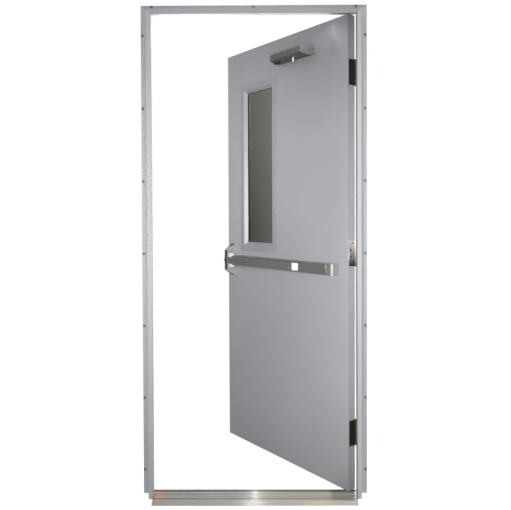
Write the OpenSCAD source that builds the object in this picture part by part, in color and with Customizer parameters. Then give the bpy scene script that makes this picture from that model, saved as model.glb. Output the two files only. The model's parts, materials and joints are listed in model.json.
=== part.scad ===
// Outward-opening exit door, hung in a flanged frame, with a push bar and a closer body.
// Millimetres. X points to the hinge side, Y out of doors and Z up.
// The origin is on the floor, midway between the jambs, where the flange meets the wall.

/* [Opening] */
// Width between the rabbets of the two jambs
opening_w = 914; // [860:1:1220]
// Height from the floor to the rabbet of the head
opening_h = 2134; // [2100:1:2440]
// How far the leaf stands open, in degrees
door_angle = 51; // [0:1:170]

/* [Frame] */
// Wall of the hollow frame section and of its flange
frame_wall = 2; // [1.6:0.1:2.4]
// Width of the section's box, from the rabbet to its back
box_w = 12; // [11:0.5:20]
// How far the flange reaches past the box
flange_w = 32.5; // [24:0.5:60]
// How far the stop stands in from the rabbet
stop_h = 11; // [9.5:0.5:16]
// Depth of the stop, from its seal face to the room side
stop_d = 12.5; // [11:0.5:25]
// Gap between the closed leaf and the stop, which the seal takes up
seal_gap = 2; // [1.4:0.1:4]
// Diameter of the fixing holes in the flange
fix_d = 5.5; // [4:0.1:7]
// Distance of the fixing holes from the flange's edge
fix_edge = 7; // [5:0.5:12]
// Height of the lowest fixing holes
fix_z0 = 108; // [80:1:160]
// Spacing of the fixing holes up the jambs
fix_pitch = 323; // [250:1:400]
// Distance of the head's outer fixing holes in from the rabbets
fix_head_inset = 4; // [0:0.5:40]

/* [Threshold] */
// Height of the threshold
sill_h = 12.7; // [11:0.1:19]
// How far the threshold reaches into the room from the flange
sill_front = 116; // [114:1:140]
// How far the threshold reaches out of doors from the flange
sill_back = 8; // [5:0.5:20]
// Thickness of the threshold's top
sill_wall = 3; // [2.5:0.1:4]
// Width of each flute in the threshold's top
flute_w = 22; // [14:1:28]
// Spacing of the flutes
flute_pitch = 36; // [30:0.5:36]
// Depth of the flutes
flute_d = 1.5; // [0.5:0.1:1.8]

/* [Leaf] */
// Thickness of the leaf
leaf_t = 44.5; // [42:0.5:54]
// Gap between the leaf's hinge edge and the rabbet
edge_gap = 3; // [2:0.1:5]
// Gap between the leaf's free edge and the rabbet
lock_gap = 3; // [2:0.1:6]
// Gap between the leaf and the rabbet of the head
top_gap = 3; // [2:0.1:6]
// Gap between the leaf and the threshold
sill_gap = 3.3; // [2:0.1:12]
// Thickness of the two face sheets
skin_t = 1.2; // [0.8:0.1:1.6]
// Thickness of the channels inside the leaf's edges
rib_t = 1.5; // [1:0.1:2]
// Reach of those channels in from the leaf's edges
rib_w = 25; // [20:1:40]

/* [Hinges] */
// Height of a hinge
hinge_h = 114.3; // [100:0.1:130]
// Thickness of a hinge leaf
hinge_t = 3.4; // [3:0.1:4]
// How far a hinge leaf runs in across the leaf's edge
hinge_reach = 38; // [34:0.5:39]
// Outer diameter of the knuckles
barrel_d = 14; // [12:0.5:16]
// Diameter of the hinge pin
pin_d = 8; // [6:0.5:9]
// Height of the lowest hinge's middle
hinge_low = 272; // [200:1:400]
// Distance of the highest hinge's middle below the head's rabbet
hinge_drop = 254; // [180:1:400]

/* [Vision lite] */
// Width of the glass in view
lite_w = 208; // [150:1:260]
// Distance of the glass's middle from the leaf's free edge
lite_edge = 272; // [250:1:300]
// Distance of the glass in view below the leaf's top
lite_drop = 228; // [200:1:260]
// Gap between the bar's rail and the frame of the glass
lite_bar_gap = 26; // [15:1:60]
// Thickness of the fire-resisting glass
glass_t = 19; // [12:0.5:22]
// Width of the bevel between the glass and the flat of its frame
lite_bevel = 15; // [12:0.5:18]
// Width of the glass frame outside its bevel
lite_border = 34; // [30:1:38]
// Width of the slope at the outside of the glass frame
lite_slope = 18; // [14:1:20]
// How far the glass frame stands out from the face sheet
lite_rise = 5; // [4:0.1:6]

/* [Push bar] */
// Height of the bar's middle
bar_z = 1002; // [960:1:1060]
// Height of the bar's rail
rail_h = 52; // [48:1:60]
// Depth of the rail
rail_d = 46; // [40:1:50]
// Wall of the rail
rail_wall = 2; // [1.5:0.1:3]
// Distance of the rail's hinge end from the leaf's hinge edge
rail_near = 90; // [80:1:130]
// Height of the push pad
pad_h = 35; // [30:0.5:36]
// How far the push pad's front stands out from the face sheet
pad_d = 70; // [66:1:78]
// Distance of the push pad's hinge end from the leaf's hinge edge
pad_near = 276; // [220:1:330]
// How far the push pad's other end reaches into the throat
pad_in = 10; // [6:0.5:12]
// Travel of the push pad
pad_travel = 15; // [8:0.5:16]
// Length of the cap over the rail's end
cap_l = 37; // [30:1:50]
// Bevel at the rail cap's front edge
cap_bevel = 8; // [4:0.5:12]
// Distance of the head's outer side from the leaf's free edge
head_edge = 20; // [14:0.5:24]
// Width of the head at the face sheet
head_w = 45; // [43:0.5:50]
// Height of the head at the face sheet
head_h = 174; // [150:1:190]
// How far the head stands out
head_d = 56; // [52:1:62]
// Width of the head's flat front
head_front_w = 26; // [24:0.5:30]
// Height of the head's flat front
head_front_h = 108; // [96:1:120]
// Length of the throat between the head and the rail
throat_l = 32; // [28:1:34]
// Height of the throat
throat_h = 76; // [66:1:80]
// Bevel at the throat's front edge
throat_bevel = 20; // [14:0.5:22]
// How far the latch reaches past the leaf's free edge
latch_out = 8; // [4:0.5:10]
// Travel of the latch
latch_travel = 19; // [12:0.5:19]

/* [Closer] */
// Distance of the closer's middle below the leaf's top
closer_drop = 107; // [95:1:125]
// Distance of the closer's near end from the leaf's hinge edge
closer_near = 224; // [200:1:260]
// Length of the closer's body
closer_l = 222; // [195:1:250]
// Height of the closer's body
closer_h = 54; // [50:1:58]
// How far the closer stands out
closer_d = 76; // [70:1:84]
// Thickness of the closer's mounting plate
closer_plate_t = 4; // [3:0.5:6]
// Diameter of the closer's spindle
spindle_d = 15; // [12:0.5:18]
// How far the spindle stands out below the closer
spindle_out = 22; // [14:1:30]

/* [Hidden] */
// How far every cut runs past what it cuts
over = 1;
// Clearance between pieces that are fixed together
fit = 0.2;
// Clearance between pieces that move past each other
slip = 0.3;
// Clearance all round a turning pin
run_fit = 0.05;
$fn = 48;

// Places across the frame section, out from the rabbet and back from the flange
flange_out = box_w + flange_w;
flange_y = frame_wall;
stop_y = flange_y - leaf_t - seal_gap;
near_y = stop_y - stop_d;
section_d = flange_y - near_y;
jamb_x = opening_w / 2;
fix_count = floor((opening_h - fix_z0) / fix_pitch) + 1;
fix_zs = [for (i = [0 : fix_count - 1]) fix_z0 + i * fix_pitch];
fix_head_x = jamb_x - fix_head_inset;
fix_head_xs = [-fix_head_x, 0, fix_head_x];

// Groove in the stop that holds the seal
kerf_w = 3;
kerf_d = 6;
kerf_wall = 1.5;
kerf_low = -stop_h + frame_wall;
kerf_high = kerf_low + kerf_w;
kerf_y = stop_y - kerf_d;

// Seal in the groove, as the closed leaf leaves it
seal_slack = 0.5;
seal_rise = seal_gap - seal_slack;
seal_reach = 2.2;
seal_r = (seal_reach * seal_reach + seal_rise * seal_rise) / (2 * seal_rise);

// Keys that hold the mitres together
key_leg = 70;
key_w = 26;
key_y = stop_y + kerf_w;
key_low = frame_wall + fit;
key_high = box_w - frame_wall - fit;

// Threshold details
sill_reach = jamb_x - slip;
sill_soffit = jamb_x - stop_h - slip;
sill_round = 2;
nose_run = 3;
nose_h = 3;
ramp_run = 17;
flute_first = 10;
flute_count = 3;
flute_r = (flute_w * flute_w / 4 + flute_d * flute_d) / (2 * flute_d);
sill_foot = 16;
sill_leg_w = 6;
sill_leg_y = -64;
port_ys = [-38, -22];
port_r = 2.1;
port_wall = 1.6;
port_z = sill_h - sill_wall - port_r;
port_screw_l = 24;
port_head_r = 4;
port_head_t = 2;

// Places on the leaf, from its hinge edge, its outer face and the floor
leaf_w = opening_w - edge_gap - lock_gap;
leaf_z0 = sill_h + sill_gap;
leaf_z1 = opening_h - top_gap;
leaf_seam = 0.4;
skin_fold = (leaf_t - leaf_seam) / 2;
rib_z0 = leaf_z0 + rib_w;
rib_z1 = leaf_z1 - rib_w;

// Hinge places and pieces
barrel_gap = 0.5;
axis_out = barrel_d / 2 + barrel_gap;
axis_x = jamb_x - edge_gap / 2;
axis_y = flange_y + axis_out;
hinge_high = opening_h - hinge_drop;
hinge_mid = (hinge_low + hinge_high) / 2;
hinge_zs = [hinge_low, hinge_mid, hinge_high];
knuckle_count = 5;
knuckle_gap = 0.4;
knuckle_h = hinge_h / knuckle_count;
pin_tip_h = 3;
pin_tip_r = barrel_d / 2 - knuckle_gap;
pin_tip_round = 1;
screw_d = 5;
screw_head_d = 10;
screw_head_t = 2.5;
screw_l = box_w - frame_wall - fit - hinge_t;
screw_z_shares = [-0.4, -0.14, 0.14, 0.4];
screw_y_shares = [0.3, 0.7, 0.7, 0.3];
plate_over = 20;
plate_inset = 3;
leaf_plate_t = 6;

// Glass frame details, out from the glass in view and from the leaf's middle plane
lite_s = leaf_w - lite_edge;
lite_out = lite_bevel + lite_border;
lite_low = bar_z + rail_h / 2 + lite_bar_gap + lite_out;
lite_high = leaf_z1 - lite_drop;
lite_h = lite_high - lite_low;
lite_z = (lite_low + lite_high) / 2;
lite_face = leaf_t / 2;
lite_front = lite_face + lite_rise;
lite_rim = 1.2;
tape_t = 1.5;
tape_w = 8;
lite_seat = glass_t / 2 + tape_t;
lite_cut_gap = 3;
lite_cut = lite_bevel + lite_cut_gap;
lite_leg = lite_bevel + lite_cut_gap / 2;
lite_leg_d = 3;
glass_bite = 10;
block_l = 40;
block_share = 0.25;
bolt_d = 4;
bolt_head_d = 8;
bolt_head_t = 2;
bolt_out = lite_bevel + (lite_border - lite_slope) / 2;
bolt_side_shares = [-0.45, -0.15, 0.15, 0.45];

// Push bar details, from the leaf's hinge edge and out from the face sheet
head_s1 = leaf_w - head_edge;
head_s0 = head_s1 - head_w;
head_wall = 2.5;
throat_s0 = head_s0 - throat_l;
cover_t = 2;
cover_gap = 1;
cap_d = rail_d + cover_t;
cap_s0 = rail_near - cap_l;
cap_wall = 2.5;
cap_lip = 1;
pad_gap = 1.5;
pad_wall = 2;
pad_flange_gap = 1;
pad_flange_d = rail_d - rail_wall - slip;
pad_low = pad_flange_d - pad_wall;
pad_tip_rise = 1;
pad_bevel = pad_d - cap_d - pad_tip_rise;
pad_end_l = 44;
pad_end_s = pad_near + pad_end_l;
pad_s1 = throat_s0 + pad_in;
pad_tongue_l = 20;
pad_tongue_t = 12;
bracket_t = 3;
bracket_h = 40;
bracket_tongue = 22;
bracket_screw_shares = [0.35, 0.75];
chassis_t = 3;
chassis_gap = 10;
chassis_side = 7;
chassis_reach = head_h / 2 - chassis_gap;
chassis_s0 = head_s0 + head_wall + fit;
chassis_s1 = head_s1 - chassis_side;
chassis_screw_inset = 12;
latch_h = 24;
latch_low = 18;
latch_t = 18;
latch_l = 62;
latch_lip = 4;
latch_slope = 14;
latch_tip = leaf_w + latch_out;
guide_t = 4;
guide_l = 15;
guide_s = chassis_s0 + guide_t;
back_plate_t = 5;
mount_d = 5;
mount_head_d = 9;
mount_head_t = 2.2;
mount_l = 6;

// Closer details
closer_z = leaf_z1 - closer_drop;
closer_low = closer_z - closer_h / 2;
closer_end = closer_near + closer_l;
closer_nose_run = 12;
closer_nose_rise = 6;
closer_front_h = 28;
closer_brow_run = 6;
closer_brow_rise = 5;
closer_back_run = 8;
closer_plate_near = 18;
closer_plate_far = 14;
closer_plate_inset = 2;
closer_screw_z = 13;
spindle_s_share = 0.36;
spindle_d_share = 0.62;
spindle_deep = 30;
spindle_flat = 2;
valve_r = 3;
valve_t = 5;
valve_sink = 1;
valve_d_shares = [0.34, 0.34, 0.12];
valve_z_shares = [0.05, -0.25, -0.33];
spring_plug_r = 15;
spring_plug_out = 4;
plug_seat = 5;
base_plug_r = 16;
base_plug_out = 6;
base_plug_s_share = 0.91;
base_plug_d_share = 0.6;

// Shared helpers

// Box between two opposite corners
module block(low, high) {
    translate(low) cube(high - low);
}

// Outline in width and height, run along the depth
module through(depth) {
    rotate([90, 0, 0]) linear_extrude(height = 2 * depth, center = true) children();
}

// Outline in depth and height, run along the width between two places
module along(low, high) {
    translate([low, 0, 0]) rotate([90, 0, 90]) linear_extrude(height = high - low) children();
}

// Outline in width and depth, run up and down about the middle
module upright(height) {
    linear_extrude(height = height, center = true) children();
}

// Cylinder along the depth
module drill(depth, r) {
    rotate([-90, 0, 0]) cylinder(h = depth, r = r);
}

// Countersunk screw that points along the depth, its head's face at zero
module csk_screw(d, head_d, head_t, length, grow = 0) {
    rotate([-90, 0, 0]) {
        cylinder(h = head_t, r1 = head_d / 2 + grow, r2 = d / 2 + grow);
        cylinder(h = length, r = d / 2 + grow);
    }
}

// Leaf's own frame: hinge edge at x = 0, outer face at y = 0, turned about the hinge axis
module on_leaf() {
    translate([axis_x, axis_y, 0])
        rotate([0, 0, -door_angle])
            translate([-edge_gap / 2, -axis_out, 0])
                children();
}

// Frame of the leaf's room side: x from the hinge edge, y out from the face sheet
module on_push() {
    on_leaf() translate([0, -leaf_t, 0]) rotate([0, 0, 180]) children();
}

// Frame members

// Hollow section with flange, stop and seal groove, out from the rabbet
module frame_section() {
    difference() {
        polygon([
            [0, flange_y], [flange_out, flange_y], [flange_out, 0], [box_w, 0],
            [box_w, near_y], [-stop_h, near_y], [-stop_h, stop_y], [0, stop_y]]);
        polygon([
            [frame_wall, 0], [box_w - frame_wall, 0],
            [box_w - frame_wall, near_y + frame_wall],
            [kerf_low, near_y + frame_wall], [kerf_low, kerf_y - kerf_wall],
            [kerf_high + kerf_wall, kerf_y - kerf_wall],
            [kerf_high + kerf_wall, stop_y - frame_wall],
            [frame_wall, stop_y - frame_wall]]);
        translate([kerf_low, kerf_y]) square([kerf_w, kerf_d + over]);
    }
}

// Wedge above the mitre of a jamb, measured from the corner of the rabbets
module above_mitre() {
    through(section_d) polygon([
        [-stop_h - over, opening_h - stop_h - over],
        [flange_out + over, opening_h + flange_out + over],
        [-stop_h - over, opening_h + flange_out + over]]);
}

// Wedge outside the mitre of the head, at the hinge side
module outside_mitre() {
    through(section_d) polygon([
        [jamb_x - stop_h - over, opening_h - stop_h - over],
        [jamb_x + flange_out + over, opening_h + flange_out + over],
        [jamb_x + flange_out + over, opening_h - stop_h - over]]);
}

module jamb() {
    difference() {
        linear_extrude(height = opening_h + flange_out) frame_section();
        above_mitre();
        for (z = fix_zs)
            translate([flange_out - fix_edge, -over, z]) drill(flange_y + 2 * over, fix_d / 2);
        for (y = port_ys)
            translate([-over, y, port_z])
                rotate([0, 90, 0]) cylinder(h = box_w + 2 * over, r = port_r + fit);
    }
}

module hinge_jamb() {
    color("lightgray") difference() {
        translate([jamb_x, 0, 0]) jamb();
        for (z = hinge_zs) translate([axis_x, axis_y, z]) hinge_mortise();
    }
}

module strike_jamb() {
    color("lightgray") mirror([1, 0, 0]) translate([jamb_x, 0, 0]) jamb();
}

module head_jamb() {
    color("lightgray") difference() {
        translate([0, 0, opening_h])
            rotate([0, -90, 0])
                linear_extrude(height = opening_w + 2 * flange_out, center = true) frame_section();
        outside_mitre();
        mirror([1, 0, 0]) outside_mitre();
        for (x = fix_head_xs)
            translate([x, -over, opening_h + flange_out - fix_edge]) drill(flange_y + 2 * over, fix_d / 2);
    }
}

module corner_keys() {
    color("gray") for (side = [0, 1]) mirror([side, 0, 0])
        translate([jamb_x, key_y + key_w, opening_h])
            rotate([90, 0, 0]) linear_extrude(height = key_w) polygon([
                [key_low, -key_leg], [key_high, -key_leg], [key_high, key_high],
                [-key_leg, key_high], [-key_leg, key_low], [key_low, key_low]]);
}

// Seal: a tongue in the groove and a bulb that lies on the stop
module seal_section() {
    translate([kerf_low + fit, kerf_y + fit]) square([kerf_w - 2 * fit, kerf_d - fit]);
    intersection() {
        translate([kerf_low + kerf_w / 2, stop_y + seal_rise - seal_r]) circle(r = seal_r);
        translate([kerf_low + kerf_w / 2 - seal_r, stop_y]) square([2 * seal_r, seal_r]);
    }
}

module jamb_seal() {
    difference() {
        translate([0, 0, sill_h + seal_slack])
            linear_extrude(height = opening_h - sill_h) seal_section();
        above_mitre();
    }
}

module hinge_side_seal() {
    color("dimgray") translate([jamb_x, 0, 0]) jamb_seal();
}

module strike_side_seal() {
    color("dimgray") mirror([1, 0, 0]) translate([jamb_x, 0, 0]) jamb_seal();
}

module head_seal() {
    color("dimgray") difference() {
        translate([0, 0, opening_h])
            rotate([0, -90, 0])
                linear_extrude(height = opening_w, center = true) seal_section();
        outside_mitre();
        mirror([1, 0, 0]) outside_mitre();
    }
}

// Threshold

// Fluted saddle on three feet, with two screw ports under its top
module sill_section() {
    under = sill_h - sill_wall;
    difference() {
        polygon([
            [sill_back, 0], [sill_back, sill_h - sill_round], [sill_back - sill_round, sill_h],
            [-sill_front + nose_run + ramp_run, sill_h], [-sill_front + nose_run, nose_h],
            [-sill_front, nose_h - flute_d], [-sill_front, 0]]);
        for (i = [0 : flute_count - 1])
            translate([-flute_first - i * flute_pitch, sill_h + flute_r - flute_d])
                circle(r = flute_r, $fn = 96);
        difference() {
            polygon([
                [sill_back - sill_foot, -over], [sill_back - sill_foot, under - flute_d],
                [-sill_front + nose_run + ramp_run + sill_wall, under - flute_d],
                [-sill_front + nose_run + ramp_run + sill_wall, -over]]);
            translate([sill_leg_y, -over]) square([sill_leg_w, sill_h]);
            for (y = port_ys) {
                translate([y, port_z]) circle(r = port_r + port_wall);
                translate([y - port_wall, port_z]) square([2 * port_wall, sill_h - port_z]);
            }
        }
        for (y = port_ys) translate([y, port_z]) circle(r = port_r);
    }
}

module threshold() {
    color("silver") difference() {
        along(-sill_reach, sill_reach) sill_section();
        for (side = [0, 1]) mirror([side, 0, 0])
            block([sill_soffit, -sill_front - over, -over], [jamb_x, stop_y + slip, sill_h + over]);
    }
}

module threshold_screws() {
    color("gray") for (side = [0, 1], y = port_ys) mirror([side, 0, 0])
        translate([jamb_x + box_w, y, port_z]) {
            rotate([0, 90, 0]) cylinder(h = port_head_t, r = port_head_r);
            rotate([0, -90, 0]) cylinder(h = box_w + port_screw_l, r = port_r - fit / 2);
        }
}

// Hinges

// Space that a hinge leaf takes in the rabbet, about the hinge axis
module hinge_mortise() {
    block([edge_gap / 2 - over, -axis_out - hinge_reach - fit, -hinge_h / 2 - fit],
        [edge_gap / 2 + hinge_t, -axis_out + over, hinge_h / 2 + fit]);
}

// Places of the screws in a hinge leaf, each pointing away from the hinge's gap
module at_hinge_screws() {
    for (i = [0 : len(screw_z_shares) - 1])
        translate([edge_gap / 2, -axis_out - screw_y_shares[i] * hinge_reach, screw_z_shares[i] * hinge_h])
            rotate([0, 0, -90]) children();
}

// Hinge leaf with its share of the knuckles, about the hinge axis
module hinge_leaf(first) {
    difference() {
        union() {
            block([edge_gap / 2, -axis_out - hinge_reach, -hinge_h / 2],
                [edge_gap / 2 + hinge_t, -axis_out, hinge_h / 2]);
            for (k = [first : 2 : knuckle_count - 1])
                translate([0, 0, k * knuckle_h - hinge_h / 2 + knuckle_gap / 2]) {
                    cylinder(h = knuckle_h - knuckle_gap, d = barrel_d);
                    translate([edge_gap / 2, -axis_out - over, 0])
                        cube([hinge_t, axis_out + over, knuckle_h - knuckle_gap]);
                }
        }
        translate([0, 0, -hinge_h / 2 - over]) cylinder(h = hinge_h + 2 * over, r = pin_d / 2 + run_fit);
        at_hinge_screws() csk_screw(screw_d, screw_head_d, screw_head_t, hinge_t + over, fit);
    }
}

module hinge_pin() {
    pin_end = (hinge_h - knuckle_gap) / 2;
    cylinder(h = 2 * pin_end, d = pin_d, center = true);
    for (end = [0, 1]) mirror([0, 0, end]) translate([0, 0, pin_end]) {
        cylinder(h = pin_tip_h - pin_tip_round, r = pin_tip_r);
        translate([0, 0, pin_tip_h - pin_tip_round])
            cylinder(h = pin_tip_round, r1 = pin_tip_r, r2 = pin_tip_r - pin_tip_round);
    }
}

// Tapped plate behind a hinge leaf, between two depths and two places across
module hinge_plate(low, high, depth_low, depth_high) {
    difference() {
        block([edge_gap / 2 + low, depth_low, -hinge_h / 2 - plate_over],
            [edge_gap / 2 + high, depth_high, hinge_h / 2 + plate_over]);
        hinge_mortise();
        at_hinge_screws() drill(box_w + over, screw_d / 2 + fit);
    }
}

module hinge_screws() {
    at_hinge_screws() csk_screw(screw_d, screw_head_d, screw_head_t, hinge_t + screw_l);
}

module on_frame_hinge(z) {
    translate([axis_x, axis_y, z]) children();
}

module on_leaf_hinge(z) {
    on_leaf() translate([edge_gap / 2, axis_out, z]) mirror([1, 0, 0]) children();
}

module frame_hinge_leaf(z) {
    color("dimgray") on_frame_hinge(z) hinge_leaf(0);
}

module door_hinge_leaf(z) {
    color("dimgray") on_leaf_hinge(z) hinge_leaf(1);
}

module frame_hinge_pin(z) {
    color("gray") on_frame_hinge(z) hinge_pin();
}

module frame_hinge_plates() {
    color("gray") for (z = hinge_zs) on_frame_hinge(z)
        hinge_plate(frame_wall, box_w - frame_wall - fit,
            stop_y + plate_inset - axis_y, -plate_inset - axis_y);
}

module frame_hinge_screws() {
    color("silver") for (z = hinge_zs) on_frame_hinge(z) hinge_screws();
}

module door_hinge_plates() {
    inset = skin_t + rib_t;
    color("gray") for (z = hinge_zs) on_leaf_hinge(z)
        hinge_plate(inset, inset + leaf_plate_t, -axis_out - leaf_t + inset + fit, -axis_out - inset - fit);
}

module door_hinge_screws() {
    color("silver") for (z = hinge_zs) on_leaf_hinge(z) hinge_screws();
}

// Leaf

// Hole for the glass, right through the leaf
module lite_hole() {
    translate([-lite_s, -leaf_t / 2, lite_z])
        cube([lite_w + 2 * lite_cut, leaf_t + 2 * over, lite_h + 2 * lite_cut], center = true);
}

// Mortises for the hinge leaves, in the leaf's own frame
module leaf_mortises() {
    for (z = hinge_zs) translate([edge_gap / 2, axis_out, z]) mirror([1, 0, 0]) hinge_mortise();
}

// Half of the leaf's outer box, its seam at the middle of the edges
module face_sheet() {
    difference() {
        block([-leaf_w, -skin_fold, leaf_z0], [0, 0, leaf_z1]);
        block([-leaf_w + skin_t, -leaf_t, leaf_z0 - over], [-skin_t, -skin_t, leaf_z1 + over]);
    }
}

module push_face_sheet() {
    color("silver") on_leaf() difference() {
        translate([0, -leaf_t, 0]) mirror([0, 1, 0]) face_sheet();
        lite_hole();
        leaf_mortises();
        lite_bolt_holes();
        mount_screw_holes();
    }
}

module pull_face_sheet() {
    color("silver") on_leaf() difference() {
        face_sheet();
        lite_hole();
        leaf_mortises();
        lite_bolt_holes();
    }
}

// Upright channel inside an edge of the leaf, its web at x = 0 and its legs towards -x
module stile() {
    difference() {
        block([-rib_w, -leaf_t + skin_t, rib_z0], [0, -skin_t, rib_z1]);
        block([-rib_w - over, -leaf_t + skin_t + rib_t, rib_z0 - over],
            [-rib_t, -skin_t - rib_t, rib_z1 + over]);
    }
}

module hinge_stile() {
    color("gray") on_leaf() difference() {
        translate([-skin_t, 0, 0]) stile();
        leaf_mortises();
    }
}

module lock_stile() {
    color("gray") on_leaf() translate([-leaf_w + skin_t, 0, 0]) mirror([1, 0, 0]) stile();
}

// Level channel inside the top or bottom of the leaf, its web at z = 0 and its legs up
module end_channel() {
    along(-leaf_w + skin_t, -skin_t) difference() {
        translate([-leaf_t + skin_t, 0]) square([leaf_t - 2 * skin_t, rib_w]);
        translate([-leaf_t + skin_t + rib_t, rib_t]) square([leaf_t - 2 * (skin_t + rib_t), rib_w]);
    }
}

module top_channel() {
    color("gray") on_leaf() translate([0, 0, leaf_z1]) mirror([0, 0, 1]) end_channel();
}

module bottom_channel() {
    color("gray") on_leaf() translate([0, 0, leaf_z0]) end_channel();
}

module door_core() {
    inset = skin_t + rib_w;
    color("burlywood") on_leaf() difference() {
        block([-leaf_w + inset, -leaf_t + skin_t, rib_z0], [-inset, -skin_t, rib_z1]);
        lite_hole();
        lite_bolt_holes();
        mount_screw_holes();
        translate([0, -leaf_t, 0]) rotate([0, 0, 180]) {
            lock_back_space(fit);
            closer_back_space(fit);
        }
    }
}

// Vision lite

// Four mitred lengths of a section round an opening, which is w by h and faces y
module mitred_ring(w, h, reach) {
    for (side = [0, 1]) {
        mirror([side, 0, 0]) intersection() {
            translate([w / 2, 0, 0]) upright(h + 2 * reach) children();
            through(leaf_t) polygon([
                [w / 2 - over, h / 2 - over], [w / 2 + reach + over, h / 2 + reach + over],
                [w / 2 + reach + over, -h / 2 - reach - over], [w / 2 - over, -h / 2 + over]]);
        }
        mirror([0, 0, side]) intersection() {
            translate([0, 0, h / 2]) rotate([0, -90, 0]) upright(w + 2 * reach) children();
            through(leaf_t) polygon([
                [w / 2 - over, h / 2 - over], [w / 2 + reach + over, h / 2 + reach + over],
                [-w / 2 - reach - over, h / 2 + reach + over], [-w / 2 + over, h / 2 - over]]);
        }
    }
}

// Slope, flat, bevel and seat of the glass frame
module lite_section() {
    polygon([
        [lite_out, lite_face], [lite_out, lite_face + lite_rim], [lite_out - lite_slope, lite_front],
        [lite_bevel, lite_front], [0, lite_seat], [tape_w, lite_seat],
        [lite_leg, lite_face - lite_leg_d], [lite_leg, lite_face]]);
}

// Places of the bolts through the two glass frames, pointing in from the room side
module at_lite_bolts() {
    translate([-lite_s, -leaf_t / 2 - lite_front, lite_z]) {
        for (side = [-1, 1], share = bolt_side_shares)
            translate([side * (lite_w / 2 + bolt_out), 0, share * lite_h]) children();
        for (side = [-1, 1]) translate([0, 0, side * (lite_h / 2 + bolt_out)]) children();
    }
}

module lite_bolt_holes() {
    at_lite_bolts() csk_screw(bolt_d, bolt_head_d, bolt_head_t, 2 * lite_front + over, fit);
}

module inner_lite_frame() {
    color("silver") on_leaf() difference() {
        translate([-lite_s, -leaf_t / 2, lite_z]) rotate([0, 0, 180])
            mitred_ring(lite_w, lite_h, lite_out) lite_section();
        lite_bolt_holes();
    }
}

module outer_lite_frame() {
    color("silver") on_leaf() difference() {
        translate([-lite_s, -leaf_t / 2, lite_z]) mitred_ring(lite_w, lite_h, lite_out) lite_section();
        at_lite_bolts() drill(2 * lite_front - bolt_head_t / 2, bolt_d / 2 + fit);
    }
}

module lite_bolts() {
    color("silver") on_leaf() at_lite_bolts()
        csk_screw(bolt_d, bolt_head_d, bolt_head_t, 2 * lite_front - bolt_head_t);
}

module lite_glass() {
    color("darkslategray", 0.6) on_leaf() translate([-lite_s, -leaf_t / 2, lite_z])
        cube([lite_w + 2 * glass_bite, glass_t, lite_h + 2 * glass_bite], center = true);
}

module glazing_tapes() {
    color("black") on_leaf() translate([-lite_s, -leaf_t / 2, lite_z])
        for (side = [-1, 1]) translate([0, side * (glass_t + tape_t) / 2, 0]) difference() {
            cube([lite_w + 2 * tape_w, tape_t, lite_h + 2 * tape_w], center = true);
            cube([lite_w, tape_t + over, lite_h], center = true);
        }
}

module setting_blocks() {
    block_t = lite_cut - glass_bite;
    block_z = lite_low - glass_bite - block_t / 2;
    color("dimgray") on_leaf() translate([-lite_s, -leaf_t / 2, block_z])
        for (side = [-1, 1]) translate([side * block_share * lite_w, 0, 0])
            cube([block_l, glass_t, block_t], center = true);
}

// Push bar

// Places of the screws that hold the bar's chassis and end bracket
module at_bar_screws() {
    for (s = [chassis_s0 + chassis_screw_inset / 2, chassis_s1 - chassis_screw_inset / 2], side = [-1, 1])
        translate([s, chassis_t, bar_z + side * (chassis_reach - chassis_screw_inset)])
            rotate([0, 0, 180]) children();
    for (share = bracket_screw_shares)
        translate([cap_s0 + share * cap_l, chassis_t, bar_z]) rotate([0, 0, 180]) children();
}

// Places of the screws that hold the closer's plate
module at_closer_screws() {
    for (s = [closer_near - closer_plate_near / 2, closer_end + closer_plate_far / 2], side = [-1, 1])
        translate([s, closer_plate_t, closer_z + side * closer_screw_z]) rotate([0, 0, 180]) children();
}

// Holes for those screws, in the leaf's own frame
module mount_screw_holes() {
    translate([0, -leaf_t, 0]) rotate([0, 0, 180]) {
        at_bar_screws() drill(chassis_t + mount_l + over, mount_d / 2 + fit);
        at_closer_screws() drill(closer_plate_t + mount_l + over, mount_d / 2 + fit);
    }
}

module mount_screw(seat) {
    csk_screw(mount_d, mount_head_d, mount_head_t, seat + mount_l);
}

module mount_hole(seat) {
    csk_screw(mount_d, mount_head_d, mount_head_t, seat + mount_l, fit);
}

module bar_screws() {
    color("silver") on_push() at_bar_screws() mount_screw(chassis_t);
}

// Space of the tapped plate behind the head
module lock_back_space(grow) {
    block([chassis_s0 - grow, -skin_t - back_plate_t - grow, bar_z - chassis_reach - grow],
        [leaf_w - skin_t - rib_w, -skin_t, bar_z + chassis_reach + grow]);
}

module lock_back_plate() {
    color("gray") on_push() difference() {
        lock_back_space(0);
        at_bar_screws() drill(chassis_t + mount_l + over, mount_d / 2 + fit);
    }
}

module bar_chassis() {
    guide_top = latch_low + latch_t + slip;
    guide_half = latch_h / 2 + slip;
    color("gray") on_push() difference() {
        translate([0, 0, bar_z]) {
            block([chassis_s0, 0, -chassis_reach], [chassis_s1, chassis_t, chassis_reach]);
            block([guide_s, chassis_t - over, -guide_half],
                [guide_s + guide_l, latch_low - slip, guide_half]);
            for (side = [0, 1]) mirror([0, 0, side])
                block([guide_s, chassis_t - over, guide_half],
                    [guide_s + guide_l, guide_top + guide_t, guide_half + guide_t]);
            block([guide_s, guide_top, -guide_half - over],
                [guide_s + guide_l, guide_top + guide_t, guide_half + over]);
        }
        at_bar_screws() mount_hole(chassis_t);
    }
}

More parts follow.
